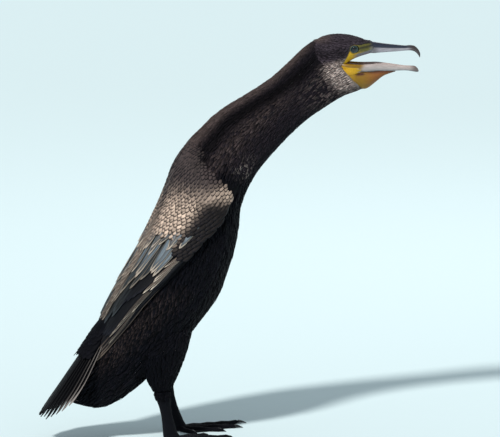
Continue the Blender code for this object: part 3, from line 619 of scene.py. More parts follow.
def eye_material():
    """The eye by its distance from the line through it: black pupil, green iris, dark rim."""
    made = new_material("eye", 0.06, Coat_Weight=0.25, Coat_Roughness=0.02)
    tree = made.node_tree
    ring = stored(tree, "Ring", "Fac")
    noise = add(tree, "ShaderNodeTexNoise", Scale=2500.0, Detail=2.0)
    iris = blend_colours(tree, noise.outputs[0], (*screen(4, 20, 28), 1), (*screen(10, 44, 50), 1))
    pupil = ramp(tree, ring, (0.56, 1.0), (0.62, 0.0))
    outer = ramp(tree, ring, (0.82, 0.0), (0.95, 1.0))
    colour = blend_colours(tree, pupil, iris, (0.002, 0.002, 0.003, 1))
    to_shader(tree, blend_colours(tree, outer, colour, (0.004, 0.006, 0.007, 1)))
    return made


# Feathers, many at a time

# How bluntly a feather ends
TIP_POWER = 2.3


def vane_template(rows, columns, under):
    """Shares along and across a vane for each of its points, and its faces. under gives it an underside."""
    t = 1 - (1 - np.linspace(0, 1, rows)) ** 1.35
    s = np.linspace(-1, 1, columns)
    ring_s = np.concatenate([s, s[-2:0:-1]]) if under else s
    low = np.concatenate([np.zeros(columns), np.ones(columns - 2)]) if under else np.zeros(columns)
    along, across = np.meshgrid(t, ring_s, indexing="ij")
    below = np.tile(low, (rows, 1))
    ring = len(ring_s)
    return along.ravel(), across.ravel(), below.ravel(), capped_faces(rows, ring)


def outline_width(t, root=0.55, full=0.45):
    """Half width along a vane as a share of its widest. It is full until the share named by full."""
    start = root + (1 - root) * smooth(0, 0.35, t)
    return start * np.sqrt(np.maximum(0, 1 - np.maximum((t - full) / (1 - full), 0) ** TIP_POWER))


def join_vanes(name, points, template, centres, edges, patches, patch_size, finish):
    """One mesh of many like vanes. points is (vanes, points of one, 3) in metres."""
    along, across, _, faces = template
    count, size = points.shape[:2]
    loops = np.concatenate([np.array(face) for face in faces])
    starts = np.cumsum([0] + [len(face) for face in faces[:-1]])
    shift = np.arange(count)[:, None]
    all_loops = (loops[None, :] + shift * size).ravel()
    mesh = bpy.data.meshes.new(name)
    mesh.vertices.add(count * size)
    mesh.vertices.foreach_set("co", points.ravel())
    mesh.loops.add(len(all_loops))
    mesh.loops.foreach_set("vertex_index", all_loops)
    mesh.polygons.add(count * len(faces))
    mesh.polygons.foreach_set("loop_start", (starts[None, :] + shift * len(loops)).ravel())
    mesh.update(calc_edges=True)
    mesh.shade_smooth()
    vane = np.column_stack([0.5 + 0.5 * across, along])[loops]
    mesh.uv_layers.new(name="Vane").data.foreach_set("uv", np.tile(vane, (count, 1)).ravel())
    baked = patches[:, None, :] + (vane - 0.5)[None, :, :] * patch_size
    mesh.uv_layers.new(name="OFBake").data.foreach_set("uv", baked.ravel())
    paint(mesh, "Centre", np.repeat(centres, size, axis=0))
    paint(mesh, "Edge", np.repeat(edges, size, axis=0))
    mesh.materials.append(finish)
    made = bpy.data.objects.new(name, mesh)
    bpy.context.scene.collection.objects.link(made)
    return made


SMALL = vane_template(5, 3, False)
LARGE = vane_template(11, 7, True)
MEDIUM = vane_template(8, 5, True)


def wing_angle(station, share):
    return np.radians(INNER_EDGE_DEG + share * (between(LOWER_EDGE, station) - INNER_EDGE_DEG))


def wing_top(station, share):
    return between(WING_TOP, station) * between(WING_PROFILE, share)


def wing_vanes(name, side, template, root, tip, share, tip_share, half, depth, centres, edges, finish,
               lean=0.12, camber=0.8, thick=0.35, full=0.45, rise=2.6):
    """Vanes that lie on the wing like shingles, each with its root sunk and its tip raised."""
    along, across, below, _ = template
    t, s = along[None, :], across[None, :]
    root, tip, share, tip_share, half = (
        np.asarray(values, float)[:, None] for values in (root, tip, share, tip_share, half)
    )
    station = root + (tip - root) * t
    place = share + (tip_share - share) * t
    angle = wing_angle(station, place)
    _, around = slopes(body_point, station, angle)
    width = half * outline_width(t, full=full) * s
    lift = wing_top(station, place) - depth + rise * (t - 0.5) + lean * width
    lift = lift - FURROW_DEPTH * furrow(station, angle) + camber * (1 - s**2) * smooth(0, 0.2, t)
    lift = lift - thick * below * (1 - t * 0.6)
    points = lifted(station, angle + width / np.linalg.norm(around, axis=-1), lift)
    points[..., 1] *= side
    patches = np.column_stack([0.03 + 0.94 * share[:, 0], 0.03 + 0.94 * (root[:, 0] - 7) / 11])
    return join_vanes(name, world(points), template, centres, edges, patches, 0.02, finish)


def varied(rng, colour, count, amount=0.18):
    return np.clip(colour * (1 + amount * rng.standard_normal((count, 1))), 0, 1)


def tier(rng, name, side, finish, count, shares, roots, tips, half, depth, centre, edge, sweep, loose, full):
    """One tier of long wing feathers. Every pair holds the value of the inner and of the outer feather."""
    place = (np.arange(count) + 0.5) / count

    def value(pair):
        return pair[0] + (pair[1] - pair[0]) * place

    def hue(pair):
        inner, outer = (varied(rng, colour, count, 0.1) for colour in pair)
        return inner * (1 - place[:, None]) + outer * place[:, None]

    share = value(shares) + 0.008 * rng.standard_normal(count)
    tip = value(tips) + 0.12 * rng.standard_normal(count)
    tip_share = share + sweep + (0.02 + 0.4 * loose) * rng.standard_normal(count)
    lean = 0.12 + loose * rng.standard_normal((count, 1))
    half = value(half) * (1 + 0.08 * rng.standard_normal(count))
    piece = wing_vanes(
        name, side, LARGE, value(roots), tip, share, tip_share, half, depth, hue(centre), hue(edge), finish,
        lean=lean, full=full,
    )
    return dress(piece, "wing_feather")


def scale_limit(station):
    """How far down the side the scale feathers reach: the shoulder first, then to the wing's edge."""
    return np.interp(station, *SCALE_LIMIT)


def scale_feathers(rng, side, finish):
    """The rows of small rounded feathers on shoulder, mantle and wing, like scales."""
    rows = []
    station, row = SCALE_ROWS[0], 0
    while station < SCALE_ROWS[1]:
        down, _ = slopes(body_point, np.full(9, station), np.linspace(0.2, 1.5, 9))
        ring = body_point(np.full(13, station), wing_angle(station, np.linspace(0, 1, 13)))
        width = np.linalg.norm(np.diff(ring, axis=0), axis=1).sum()
        spacing = between(SCALE_SPACING, station)
        share = 0.5 + (np.arange(-20, 21) + 0.5 * (row % 2)) * spacing / width
        last = SCALE_ROWS[1] - 0.75 * smooth(0.08, 0.25, share) * smooth(0.8, 0.5, share)
        share = share[(share > 0.005) & (share < scale_limit(station)) & (station < last)]
        rows.append(np.column_stack([np.full(len(share), station), share, np.full(len(share), spacing)]))
        station += 0.8 * spacing / np.linalg.norm(down, axis=1).mean()
        row += 1
    station, share, spacing = np.vstack(rows).T
    count = len(station)
    station = station + 0.008 * rng.standard_normal(count)
    share = share + 0.003 * rng.standard_normal(count)
    size = 1 + 0.05 * rng.standard_normal(count)
    # Painted shade: the scale feathers darken towards the wing's lower edge behind the shoulder, where they lie
    # in the wing's shadow.
    shade = smooth(0.55, 0.75, share) * smooth(8.4, 8.85, station)
    # The dark neck feathers turn into the tan scale feathers here. This is partly the plumage's own change of
    # colour and partly painted sunlight on the shoulder, which begins further forward on the shoulder's lit rim
    # near the wing's edge.
    rim = 0.5 * smooth(0.6, 0.9, share)
    tan_and_sunlight = smooth(7.9 - rim, 9.1 - rim, station) * (0.5 + 0.5 * smooth(0, 0.22, share)) * (1 - shade)
    centre = mix(np.tile(mix(NECK, NAPE, 0.4), (count, 1)), TAN, tan_and_sunlight) * (1 - 0.8 * shade[:, None])
    edge = mix(np.tile(NECK, (count, 1)), TAN_EDGE, tan_and_sunlight)
    # Painted shade where the neck's furrow runs onto the shoulder.
    furrow_shade = 1 - 0.7 * furrow(station, wing_angle(station, share))[:, None]
    tone = (1 + 0.16 * rng.standard_normal((count, 1))) * furrow_shade
    first_row = np.interp(share, SCALE_LIMIT[1], SCALE_LIMIT[0])
    length = (0.26 + 0.26 * smooth(0, 0.7, station - first_row)) * size
    depth = 0.2 + 2.4 * (1 - smooth(0, 1.1, station - first_row))
    piece = wing_vanes(
        "scale_feathers_" + side_word(side), side, MEDIUM, station, station + length, share,
        share + 0.004 * rng.standard_normal(count), 0.6 * spacing * size, depth[:, None],
        np.clip(centre * tone, 0, 1), edge * tone, finish,
        lean=0.04, camber=0.9, thick=0.3, full=0.68, rise=2.3,
    )
    return dress(piece, "wing_feather")


def back_feathers(rng, finish):
    """The feathers over the middle of the back, where the two wings meet."""
    station = np.arange(7.4, 14.6, 0.13)
    count = len(station)
    angle = np.where(np.arange(count) % 2, 2.6, -2.6) + 0.8 * rng.standard_normal(count)
    share = (angle - INNER_EDGE_DEG) / (between(LOWER_EDGE, station) - INNER_EDGE_DEG)
    tone = (1 - 0.6 * smooth(11, 14, station))[:, None]
    centre = mix(np.tile(NAPE * 0.6, (count, 1)), BROWN, smooth(8.2, 9.4, station)) * tone
    edge = mix(np.tile(NECK, (count, 1)), BUFF * 0.5, smooth(8.6, 10.5, station)) * tone
    depth = 2.0 * (1 - smooth(7.4, 8.6, station)) - 0.9
    piece = wing_vanes(
        "back_feathers", 1, MEDIUM, station, station + 0.62, share, share, np.full(count, 5.4), depth[:, None],
        varied(rng, centre, count), edge, finish, lean=0.0, rise=2.3, full=0.6,
    )
    dress(piece, "wing_feather")


def wing_pad(name, side, finish):
    """The closed dark form that the wing's feathers lie on."""
    stations = np.linspace(8.0, 15.0, 44)
    shares = np.linspace(0, 1, 17)
    station, share = np.meshgrid(stations, shares, indexing="ij")
    angle = wing_angle(station, share)
    top = lifted(station, angle, wing_top(station, share) - 2.4 - 2.0 * smooth(11, 14.5, station))
    under = lifted(station, angle, -3.0 + 0 * station)
    grid = np.concatenate([top, under[:, ::-1]], axis=1)
    grid[..., 1] *= side
    pad = mesh_piece(name, world(grid).reshape(-1, 3), capped_faces(*grid.shape[:2]), finish)
    return dress(pad, "wing_feather")


# name, finish, count, then for the first and the last feather: places across, root stations, tip stations and
# half widths; depth under the wing's top, colours of the middle and of the rim, change of place towards the tip
WING_TIERS = (
    # The outermost primary's brown rim and the buff rims of edge_quills and edge_coverts form a strip along the
    # wing's lower edge. It is partly the feathers' pale edging and partly a painted sheen with painted
    # highlights.
    ("primaries", "quill", 6, (0.5, 0.97), (12.7, 12.4), (15.8, 17.1), (6.4, 5.0), 3.6,
     (QUILL, QUILL), (QUILL, BROWN), 0),
    ("secondaries", "quill", 11, (0.1, 0.95), (11.4, 11.2), (15.9, 15.2), (7.0, 5.6), 2.9,
     (QUILL, QUILL), (QUILL * 2, QUILL * 3), 0.02),
    ("greater_coverts", "quill", 8, (0.34, 0.9), (10.6, 10.3), (13.9, 12.9), (6.4, 5.4), 2.1,
     (QUILL, QUILL), (QUILL * 2, QUILL * 3), 0),
    ("edge_quills", "slate", 6, (0.84, 0.88), (12.0, 13.4), (13.9, 16.0), (2.4, 2.4), 1.4,
     (BROWN * 0.3, BROWN * 0.3), (BUFF * 0.7, BUFF * 0.45), 0.0),
    ("edge_coverts", "slate", 5, (0.9, 0.82), (10.4, 11.7), (11.8, 13.2), (2.6, 2.4), 0.9,
     (BROWN, BROWN * 0.8), (BUFF * 1.5, BUFF * 1.5), 0.0),
    ("tertials", "slate", 6, (0.03, 0.48), (11.8, 11.6), (15.1, 14.3), (6.8, 6.0), 1.5,
     (SLATE * 0.05, SLATE * 0.05), (SLATE * 0.16, SLATE * 0.2), 0.0),
    ("long_scapulars", "slate", 7, (0.02, 0.58), (11.0, 10.8), (13.5, 12.7), (6.8, 6.2), 0.8,
     (SLATE * 0.14, SLATE * 0.24), (BUFF * 0.3, BUFF * 0.4), 0.0),
    ("middle_scapulars", "slate", 8, (0.02, 0.7), (10.3, 10.1), (12.6, 12.0), (6.4, 5.8), 0.3,
     (SLATE * 0.8, SLATE), (BUFF * 0.7, BUFF), 0.0),
    ("scapulars", "slate", 9, (0.01, 0.78), (9.6, 9.6), (11.4, 11.0), (5.6, 5.0), -0.1,
     (BROWN, SLATE), (BUFF, BUFF * 0.9), 0.0),
    ("back_scapulars", "slate", 9, (0.015, 0.05), (10.0, 13.4), (11.6, 15.4), (4.4, 4.0), -0.4,
     (BROWN * 0.9, BROWN * 0.6), (BUFF * 0.6, BUFF * 0.4), 0.0),
)


def build_wing(side, finishes):
    word = side_word(side)
    rng = np.random.default_rng(SEED + side)
    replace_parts(wing_pad("wing_pad_" + word, side, finishes["under"]), "wing_" + word)
    for name, finish, count, shares, roots, tips, half, depth, centre, edge, sweep in WING_TIERS:
        full, loose = (0.3, 0.1) if finish == "slate" else (0.45, 0.0)
        tier(rng, name + "_" + word, side, finishes[finish], count, shares, roots, tips, half, depth,
             centre, edge, sweep, loose, full)
    scale_feathers(rng, side, finishes["scale"])


# The coat on neck, trunk, head and thighs

def root_rows(rng, surface, first, last, spacing):
    """Roots of a coat in staggered rows over a surface: row number and angle of each."""
    found = []
    row, turn = first, 0.0
    while row < last:
        ring = surface(np.full(49, row), np.linspace(0, 2 * math.pi, 49))
        round_it = np.linalg.norm(np.diff(ring, axis=0), axis=1).sum()
        here = spacing(row)
        count = max(6, int(round_it / here))
        angle = (np.arange(count) + turn + 0.25 * rng.standard_normal(count)) / count * 2 * math.pi
        found.append(np.column_stack([np.full(count, row), angle]))
        down, _ = slopes(surface, np.full(49, row), np.linspace(0, 2 * math.pi, 49))
        row += here * 0.86 / np.linalg.norm(down, axis=1).mean()
        turn = 0.5 - turn
    roots = np.vstack(found)
    down, _ = slopes(surface, roots[:, 0], roots[:, 1])
    roots[:, 0] += 0.2 * spacing(first) / np.linalg.norm(down, axis=1) * rng.standard_normal(len(roots))
    return roots


def snapped(points, tree):
    """The nearest places on the skin and the normals there, for points in metres."""
    flat = points.reshape(-1, 3)
    places, normals = np.empty_like(flat), np.empty_like(flat)
    for i, point in enumerate(flat):
        place, normal, _, _ = tree.find_nearest(Vector(point))
        places[i] = place
        normals[i] = normal
    return places.reshape(points.shape), normals.reshape(points.shape)


def coat(rng, name, tree, surface, roots, sizes, colours, patches, finish, slot="plumage", stray=0.06):
    """Small feathers over the skin. sizes gives length, half width and rise of the tip for each root."""
    along, across, _, _ = SMALL
    row, angle = roots.T
    start = surface(row, angle)
    down, _ = slopes(surface, row, angle)
    ahead = world(start + unit(down))
    start = world(start)
    place, normal = snapped(start, tree)
    near = np.linalg.norm(place - start, axis=1) < 6.5 * MM
    place, normal, ahead, start = place[near], normal[near], ahead[near], start[near]
    length, half, rise = (value[near] for value in sizes)
    run = ahead - start
    side = unit(np.cross(run, normal))
    run = unit(np.cross(normal, side) + stray * side * rng.standard_normal((len(run), 1)))
    side = np.cross(run, normal)
    size = 1 + 0.12 * rng.standard_normal((len(run), 1))
    t, s = along[None, :, None], across[None, :, None]
    reach = (length[:, None] * size)[:, :, None] * MM
    wide = (half[:, None] * size)[:, :, None] * MM
    laid = place[:, None, :] + run[:, None, :] * reach * t + side[:, None, :] * wide * s * outline_width(t)
    on_skin, up = snapped(laid, tree)
    ridge = 0.2 + 0.1 * half[:, None, None]
    crest = ridge * (1 - np.abs(s)) * smooth(0, 0.3, t) * (1 - 0.6 * t)
    lift = -0.3 + (rise[:, None] * size)[:, :, None] * t**0.8 + crest
    points = on_skin + up * lift * MM
    centres, edges = (value[near] for value in colours)
    piece = join_vanes(name, points, SMALL, centres, edges, patches[near], 0.003, finish)
    return dress(piece, slot)


def body_colours(rng, station, angle):
    """Colours of the middle and the rim of the feathers at places on neck and trunk."""
    count = len(station)
    turn = off_back(angle)
    centre = np.tile(NECK, (count, 1))
    edge = np.tile(NECK_EDGE, (count, 1))
    # Brown along the back of the neck: partly the plumage's own brown, partly painted rim light on the neck's
    # lit back edge.
    nape = (1 - smooth(0.2, 0.75, turn)) * smooth(-0.5, 1, station)
    side_patch = np.exp(-(((turn - 1.36) / 0.3) ** 2)) * smooth(1.5, 4.0, station) * smooth(8.3, 7.6, station)
    brown = np.clip(0.75 * nape + 0.55 * side_patch * rng.random(count), 0, 1)
    centre = mix(centre, NAPE * 0.6, brown)
    edge = mix(edge, NAPE, brown)
    specks = np.exp(-(((turn - 2.1) / 0.3) ** 2 + ((station - 6.6) / 0.8) ** 2)) * (rng.random(count) > 0.6)
    edge = mix(edge, QUILL_EDGE * 1.2, specks)
    trunk = smooth(6.4, 7.6, station) * smooth(1.2, 1.6, turn + 0.6 * smooth(8, 9, station))
    centre = mix(centre, BREAST, trunk)
    edge = mix(edge, BREAST_EDGE, trunk)
    below_wing = np.degrees(turn) - between(LOWER_EDGE, station)
    flank = smooth(-8, 2, below_wing) * (1 - smooth(12, 48, below_wing)) * smooth(11.7, 13.2, station)
    flank = flank * (1 - smooth(15.5, 17.5, station))
    # Brown rims on the front of the breast: partly its brown feather fringes, partly painted light on its lit
    # front edge.
    front = smooth(1.9, 2.6, turn) * smooth(10, 11.5, station) * (1 - smooth(13.5, 15, station)) * 0.5
    streak = np.clip(flank + front, 0, 1) * (0.35 + 0.65 * rng.random(count))
    edge = mix(edge, FLANK_EDGE, streak)
    throat = (1 - smooth(0.35, 1.1, station)) * smooth(1.15, 1.6, turn) * (1 - 0.65 * smooth(2.1, 2.7, turn))
    mottle = (1 - smooth(1.0, 3.2, station)) * smooth(1.2, 1.8, turn) * (rng.random(count) > 0.55) * 0.6
    pale = np.clip(throat * (0.6 + 0.6 * rng.random(count)) + mottle * (1 - throat), 0, 1)
    centre = mix(centre, CHEEK, pale * np.clip(throat + 0.25, 0, 1))
    edge = mix(edge, CHEEK_EDGE, pale)
    # Painted shade in the neck's furrow.
    dark = 1 - 0.72 * furrow(station, angle)[:, None]
    tone = (1 + 0.25 * rng.standard_normal((count, 1))) * dark
    return np.clip(centre * tone, 0, 1), np.clip(edge * tone, 0, 1)


def cheek_share(x, z):
    """How pale the feathers are at places beside the eye's middle, from the gape back to the neck."""
    return smooth(0, 9, -9 + 0.32 * (x + 12) - z) * smooth(-50, -24, x)


def head_colours(rng, points):
    count = len(points)
    x, z = from_eye(points).T
    pale = np.clip(cheek_share(x, z) * (0.55 + 0.6 * rng.random(count)), 0, 1)
    band = np.exp(-(((z + 1.5 - 0.18 * x) / 6.5) ** 2)) * smooth(4, -8, x)
    tone = (1 + 0.22 * rng.standard_normal((count, 1))) * (1 - 0.42 * band[:, None])
    nape = smooth(6, 20, z) * smooth(-20, -52, x)
    centre = mix(mix(np.tile(CROWN, (count, 1)), NAPE * 0.7, nape), CHEEK, pale)
    edge = mix(mix(np.tile(NECK_EDGE * 1.2, (count, 1)), NAPE, nape), CHEEK_EDGE, pale)
    return np.clip(centre * tone, 0, 1), np.clip(edge * tone, 0, 1)


# name, first and last station, then by station: spacing, length, half width and rise of the tip
BODY_TRACTS = (
    ("coat_neck", 0.0, 4.5, ((0, 2.3), (5, 2.7)), ((0, 8), (5, 11)), ((0, 1.0), (5, 1.3)),
     ((0, 1.5), (5, 1.9))),
    ("coat_neck_base", 4.5, 8.6, ((4.5, 2.7), (8.6, 3.8)), ((4.5, 11), (8.6, 15)), ((4.5, 1.3), (8.6, 2.1)),
     ((4.5, 1.9), (8.6, 2.3))),
    ("coat_trunk", 8.6, 20.6, ((8.6, 3.9), (12, 4.6), (18, 4.6), (21, 4.0)), ((8.6, 16), (12, 20), (21, 28)),
     ((8.6, 2.2), (12, 2.6), (21, 2.4)), ((8.6, 2.3), (12, 2.6), (21, 2.6))),
)
# by row from the bill's root to the nape: length, half width and rise of the tip of the head's feathers
HEAD_ROWS = (0, 3, 8)
HEAD_SIZES = ((3.4, 6.0, 8.5), (0.9, 1.1, 1.2), (0.9, 1.2, 1.7))
# at the hip and at the ankle: length, half width and rise of the tip of the thigh's feathers
THIGH_SIZES = ((18, 15), (3.0, 2.0), (2.3, 1.6))


def build_coat(tree, finish):
    rng = np.random.default_rng(SEED)

    def body_tract(name, first, last, spacing, length, half, rise):
        roots = root_rows(rng, body_point, first, last, lambda row: between(spacing, row))
        station, angle = roots.T
        limit = np.degrees(wing_angle(station, scale_limit(station))) - np.degrees(off_back(angle))
        fading = smooth(6.9, 8.1, station) > rng.random(len(station))
        covered = (limit > 7) & fading & (station < 15.2)
        bare = face_depth(body_point(station, angle)) > -0.5
        roots = roots[~covered & ~bare]
        station, angle = roots.T
        sizes = [between(table, station) for table in (length, half, rise)]
        patches = spread(angle / (2 * math.pi), (station - first) / (last - first))
        colours = body_colours(rng, station, angle)
        return coat(rng, name, tree, body_point, roots, sizes, colours, patches, finish)

    for tract in BODY_TRACTS:
        body_tract(*tract)

    def back_to_front(row, angle):
        return cranium_point(len(CRANIUM) - 1 - row, angle)

    roots = root_rows(rng, back_to_front, 0.15, 8.8, lambda row: np.interp(row, HEAD_ROWS, (1.7, 2.1, 2.6)))
    points = back_to_front(*roots.T)
    keep = face_depth(points) < -0.3
    roots, points = roots[keep], points[keep]
    sizes = [np.interp(roots[:, 0], HEAD_ROWS, values) for values in HEAD_SIZES]
    patches = spread(roots[:, 1] / (2 * math.pi), roots[:, 0] / 9)
    coat(rng, "coat_head", tree, back_to_front, roots, sizes, head_colours(rng, points), patches, finish)

    for leg in LEGS:
        surface = thigh_point(leg)
        roots = root_rows(rng, surface, 0.3, 6.0, lambda row: np.interp(row, THIGH_ROWS, (4.4, 2.4)))
        count = len(roots)
        sizes = [np.interp(roots[:, 0], THIGH_ROWS, pair) for pair in THIGH_SIZES]
        tone = 1 + 0.2 * rng.standard_normal((count, 1))
        colours = (np.clip(BREAST * tone, 0, 1), np.clip(BREAST_EDGE * 0.7 * tone, 0, 1))
        patches = spread(roots[:, 1] / (2 * math.pi), roots[:, 0] / 6)
        coat(rng, "coat_thigh_" + leg, tree, surface, roots, sizes, colours, patches, finish)


# Skin

def remeshed(name, nodes, voxel, swell, rounds, finish):
    """One closed skin round several solids: they are swollen until they meet, joined and made anew."""
    parts = []
    for node in nodes:
        copy = frame["nodes"][node].copy()
        copy.data = frame["nodes"][node].data.copy()
        bpy.context.scene.collection.objects.link(copy)
        mesh = copy.data
        normals = np.array([vert.normal for vert in mesh.vertices])
        mesh.vertices.foreach_set("co", (points_of(mesh) + normals * swell * MM).ravel())
        parts.append(copy)
    with bpy.context.temp_override(active_object=parts[0], object=parts[0], selected_editable_objects=parts,
                                   selected_objects=parts):
        bpy.ops.object.join()
    made = parts[0]
    made.name = name
    made.parent = None
    made.matrix_world = Matrix.Identity(4)
    step = made.modifiers.new("remesh", "REMESH")
    step.mode = "VOXEL"
    step.voxel_size = voxel * MM
    step = made.modifiers.new("smooth", "SMOOTH")
    step.factor = 0.5
    step.iterations = rounds
    mesh = bpy.data.meshes.new_from_object(made.evaluated_get(bpy.context.evaluated_depsgraph_get()))
    made.modifiers.clear()
    made.data = mesh
    mesh.materials.clear()
    mesh.materials.append(finish)
    mesh.shade_smooth()
    for layer in list(mesh.color_attributes):
        mesh.color_attributes.remove(layer)
    return made


def face_colours(points):
    """Colours of the bare face at points of the straight frame."""
    x, z = from_eye(points).T
    count = len(points)
    colour = np.tile(OCHRE, (count, 1))
    colour = mix(colour, YELLOW, smooth(-34, -20, z))
    colour = mix(colour, OLIVE * 0.6, smooth(-1, 4, x) * smooth(-7.5, -4, z))
    stripe = np.exp(-(((z - 1.4 - 0.14 * (x - 9.7)) / 2.3) ** 2)) * smooth(2, 7, x)
    colour = mix(colour, LORE_DARK, np.clip(stripe + smooth(6.0, 7.4, z), 0, 1) * 0.92 * smooth(-2, 3, x))
    gum = smooth(1.5, -1.0, z + 6.2 - 0.2 * (x - 10)) * smooth(-6, 6, x)
    colour = mix(colour, BILL_PALE * 0.8, np.clip(gum + 0.8 * smooth(19, 28, x) * smooth(4, 0, z), 0, 1))
    colour = mix(colour, BILL_BLUE * 1.5, smooth(19, 27, x) * smooth(1, 4, z) * 0.8)
    ring = 1 - smooth(6.2, 7.4, np.hypot(x + EYE_BACK, z))
    colour = mix(colour, LORE_DARK * 1.6, ring * 0.9)
    depth = np.interp(x, (-14, -2), (13.5, 8))
    mouth = (1 - smooth(-1, 1, np.abs(points[:, 1]) - depth)) * smooth(-36, -32, z) * (1 - smooth(-6, -3, z))
    mouth = mouth * smooth(-30, -16, x)
    return mix(colour, RUST, mouth)


def body_place(points):
    """Station and angle on the neck nearest to points of the straight frame. Far from it the station is -9."""
    station, angle = np.meshgrid(np.arange(0, 9, 0.08), np.linspace(-math.pi, math.pi, 73)[:-1], indexing="ij")
    station, angle = station.ravel(), angle.ravel()
    tree = KDTree(len(station))
    for i, place in enumerate(body_point(station, angle)):
        tree.insert(place, i)
    tree.balance()
    found = [tree.find(place) for place in points]
    nearest = np.array([hit[1] for hit in found])
    near = np.array([hit[2] for hit in found]) < 6
    return np.where(near, station[nearest], -9), angle[nearest]


def build_skin(finish):
    nodes = ("torso", "neck_lower", "neck_upper", "head", "thigh_left", "thigh_right")
    made = remeshed("skin", nodes, 1.95, 0.3, 3, finish)
    mesh = made.data
    points = points_of(mesh)
    normals = np.empty(len(mesh.vertices) * 3)
    mesh.vertices.foreach_get("normal", normals)
    place = straight(points)
    depth = face_depth(place)
    crown = smooth(4, 16, place[:, 2] - EYE_Z) * smooth(110, 130, place[:, 0])
    sink = (np.interp(place[:, 0], (60, 130), (2.2, 1.4)) + 1.1 * crown) * (1 - smooth(-5, -0.5, depth)) + 0.3
    sink = sink + FURROW_DEPTH * furrow(*body_place(place))
    mesh.vertices.foreach_set("co", (points - normals.reshape(-1, 3) * sink[:, None] * MM).ravel())
    mesh.update()
    feathered = mix(np.tile(BLACK, (len(points), 1)), NECK * 0.8, smooth(-60, 40, place[:, 0]))
    feathered = mix(feathered, CHEEK * 0.35, cheek_share(*from_eye(place).T))
    paint(mesh, "Centre", mix(feathered, face_colours(place), smooth(-0.8, 0.6, depth)))
    dress(made, "plumage", *nodes)
    return made


def search_tree(pieces):
    """Finds the nearest place on any of several pieces."""
    points, polygons = [], []
    for made in pieces:
        base = len(points)
        points += [Vector(p) for p in points_of(made.data)]
        polygons += [tuple(base + i for i in face.vertices) for face in made.data.polygons]
    return BVHTree.FromPolygons(points, polygons)


# Bill, pouch, eyes

def mirrored(half):
    """Whole rings from halves whose first and last points lie on the middle plane."""
    return np.concatenate([half, half[:, -2:0:-1] * (1, -1, 1)], axis=1)


def there_and_back(values):
    """Values of a half ring, carried on round the whole ring."""
    return np.concatenate([values, values[-2:0:-1]])


def closed_loft(name, rings, finish, colours):
    """A closed tube through rings of points of the straight frame, with its colours."""
    made = mesh_piece(name, world(rings).reshape(-1, 3), capped_faces(*rings.shape[:2]), finish)
    paint(made.data, "Centre", np.clip(colours.reshape(-1, 3), 0, 1))
    return made


# the point of the upper bill's finer cut, of 33, that the palate starts after
PALATE_FROM = 25


def build_upper_bill(finish):
    rows = read_rows(UPPER_BILL, np.linspace(0, len(UPPER_BILL) - 1, 71))
    cut = read_rows(UPPER_BILL_CUT, np.linspace(0, len(UPPER_BILL_CUT) - 1, 33))
    across, above = cut[None, :, 0], cut[None, :, 1]
    ridge_x, ridge_z, edge_x, edge_z, half = (rows[:, i, None] for i in range(5))
    half_cut = np.stack([
        EYE_X + edge_x + (ridge_x - edge_x) * above, half * across, EYE_Z + edge_z + (ridge_z - edge_z) * above
    ], axis=-1)
    rings = mirrored(half_cut)
    up = there_and_back(above[0])
    palate = there_and_back(np.arange(len(cut))) > PALATE_FROM
    ahead = np.broadcast_to(rows[:, :1], (len(rows), len(up)))
    top = np.tile(smooth(0.42, 0.56, up), (len(rows), 1))
    colour = mix(np.tile(BILL_PALE, top.shape + (1,)), BILL_BLUE, top)
    colour = mix(colour, BILL_BLUE * 0.55, np.tile(smooth(0.86, 0.97, up), (len(rows), 1)))
    colour = mix(colour, LORE_DARK * 2.5, 0.6 * (1 - smooth(27, 38, ahead)) * (1 - top))
    colour = mix(colour, BILL_TIP * 0.5, smooth(76, 88, ahead) * 0.85)
    colour = mix(colour, RUST * 0.8, np.tile(palate * 0.8, (len(rows), 1)))
    return dress(closed_loft("upper_bill", rings, finish, colour), "horn", "bill_upper")


def build_lower_bill(finish):
    rows = read_rows(LOWER_BILL, np.linspace(0, len(LOWER_BILL) - 1, 75))
    cut = read_rows(LOWER_BILL_CUT, np.linspace(0, len(LOWER_BILL_CUT) - 1, 41))
    across, fall, deep = (cut[None, :, i] for i in range(3))
    x, top, bottom, half, trough = (rows[:, i, None] for i in range(5))
    z = top + (bottom - top) * fall - trough * np.clip(deep, 0, 1)
    rings = mirrored(np.stack([EYE_X + x + 0 * z, half * across, EYE_Z + z], axis=-1))
    inside, low = there_and_back(cut[:, 2]), there_and_back(cut[:, 1])
    shape = (len(rows), len(inside))
    ahead = np.broadcast_to(x, shape)
    colour = np.tile(BILL_PINK, shape + (1,))
    # Greyer and darker towards the keel: painted shade on the lower bill's underside.
    colour = mix(colour, BILL_PALE * 0.75, np.broadcast_to(smooth(0.45, 0.95, low), shape) * 0.7)
    outside = np.broadcast_to(inside <= 0.3, shape)
    colour = mix(colour, OCHRE, (1 - smooth(5, 15, ahead + 5 * (low - 0.4))) * outside)
    hollow = np.broadcast_to(smooth(0.55, 0.85, inside), shape)
    colour = mix(colour, RUST, hollow * (1 - 0.6 * smooth(20, 50, ahead)))
    colour = mix(colour, BILL_TIP, smooth(78, 90, ahead) * 0.8)
    return dress(closed_loft("lower_bill", rings, finish, colour), "horn", "bill_lower")


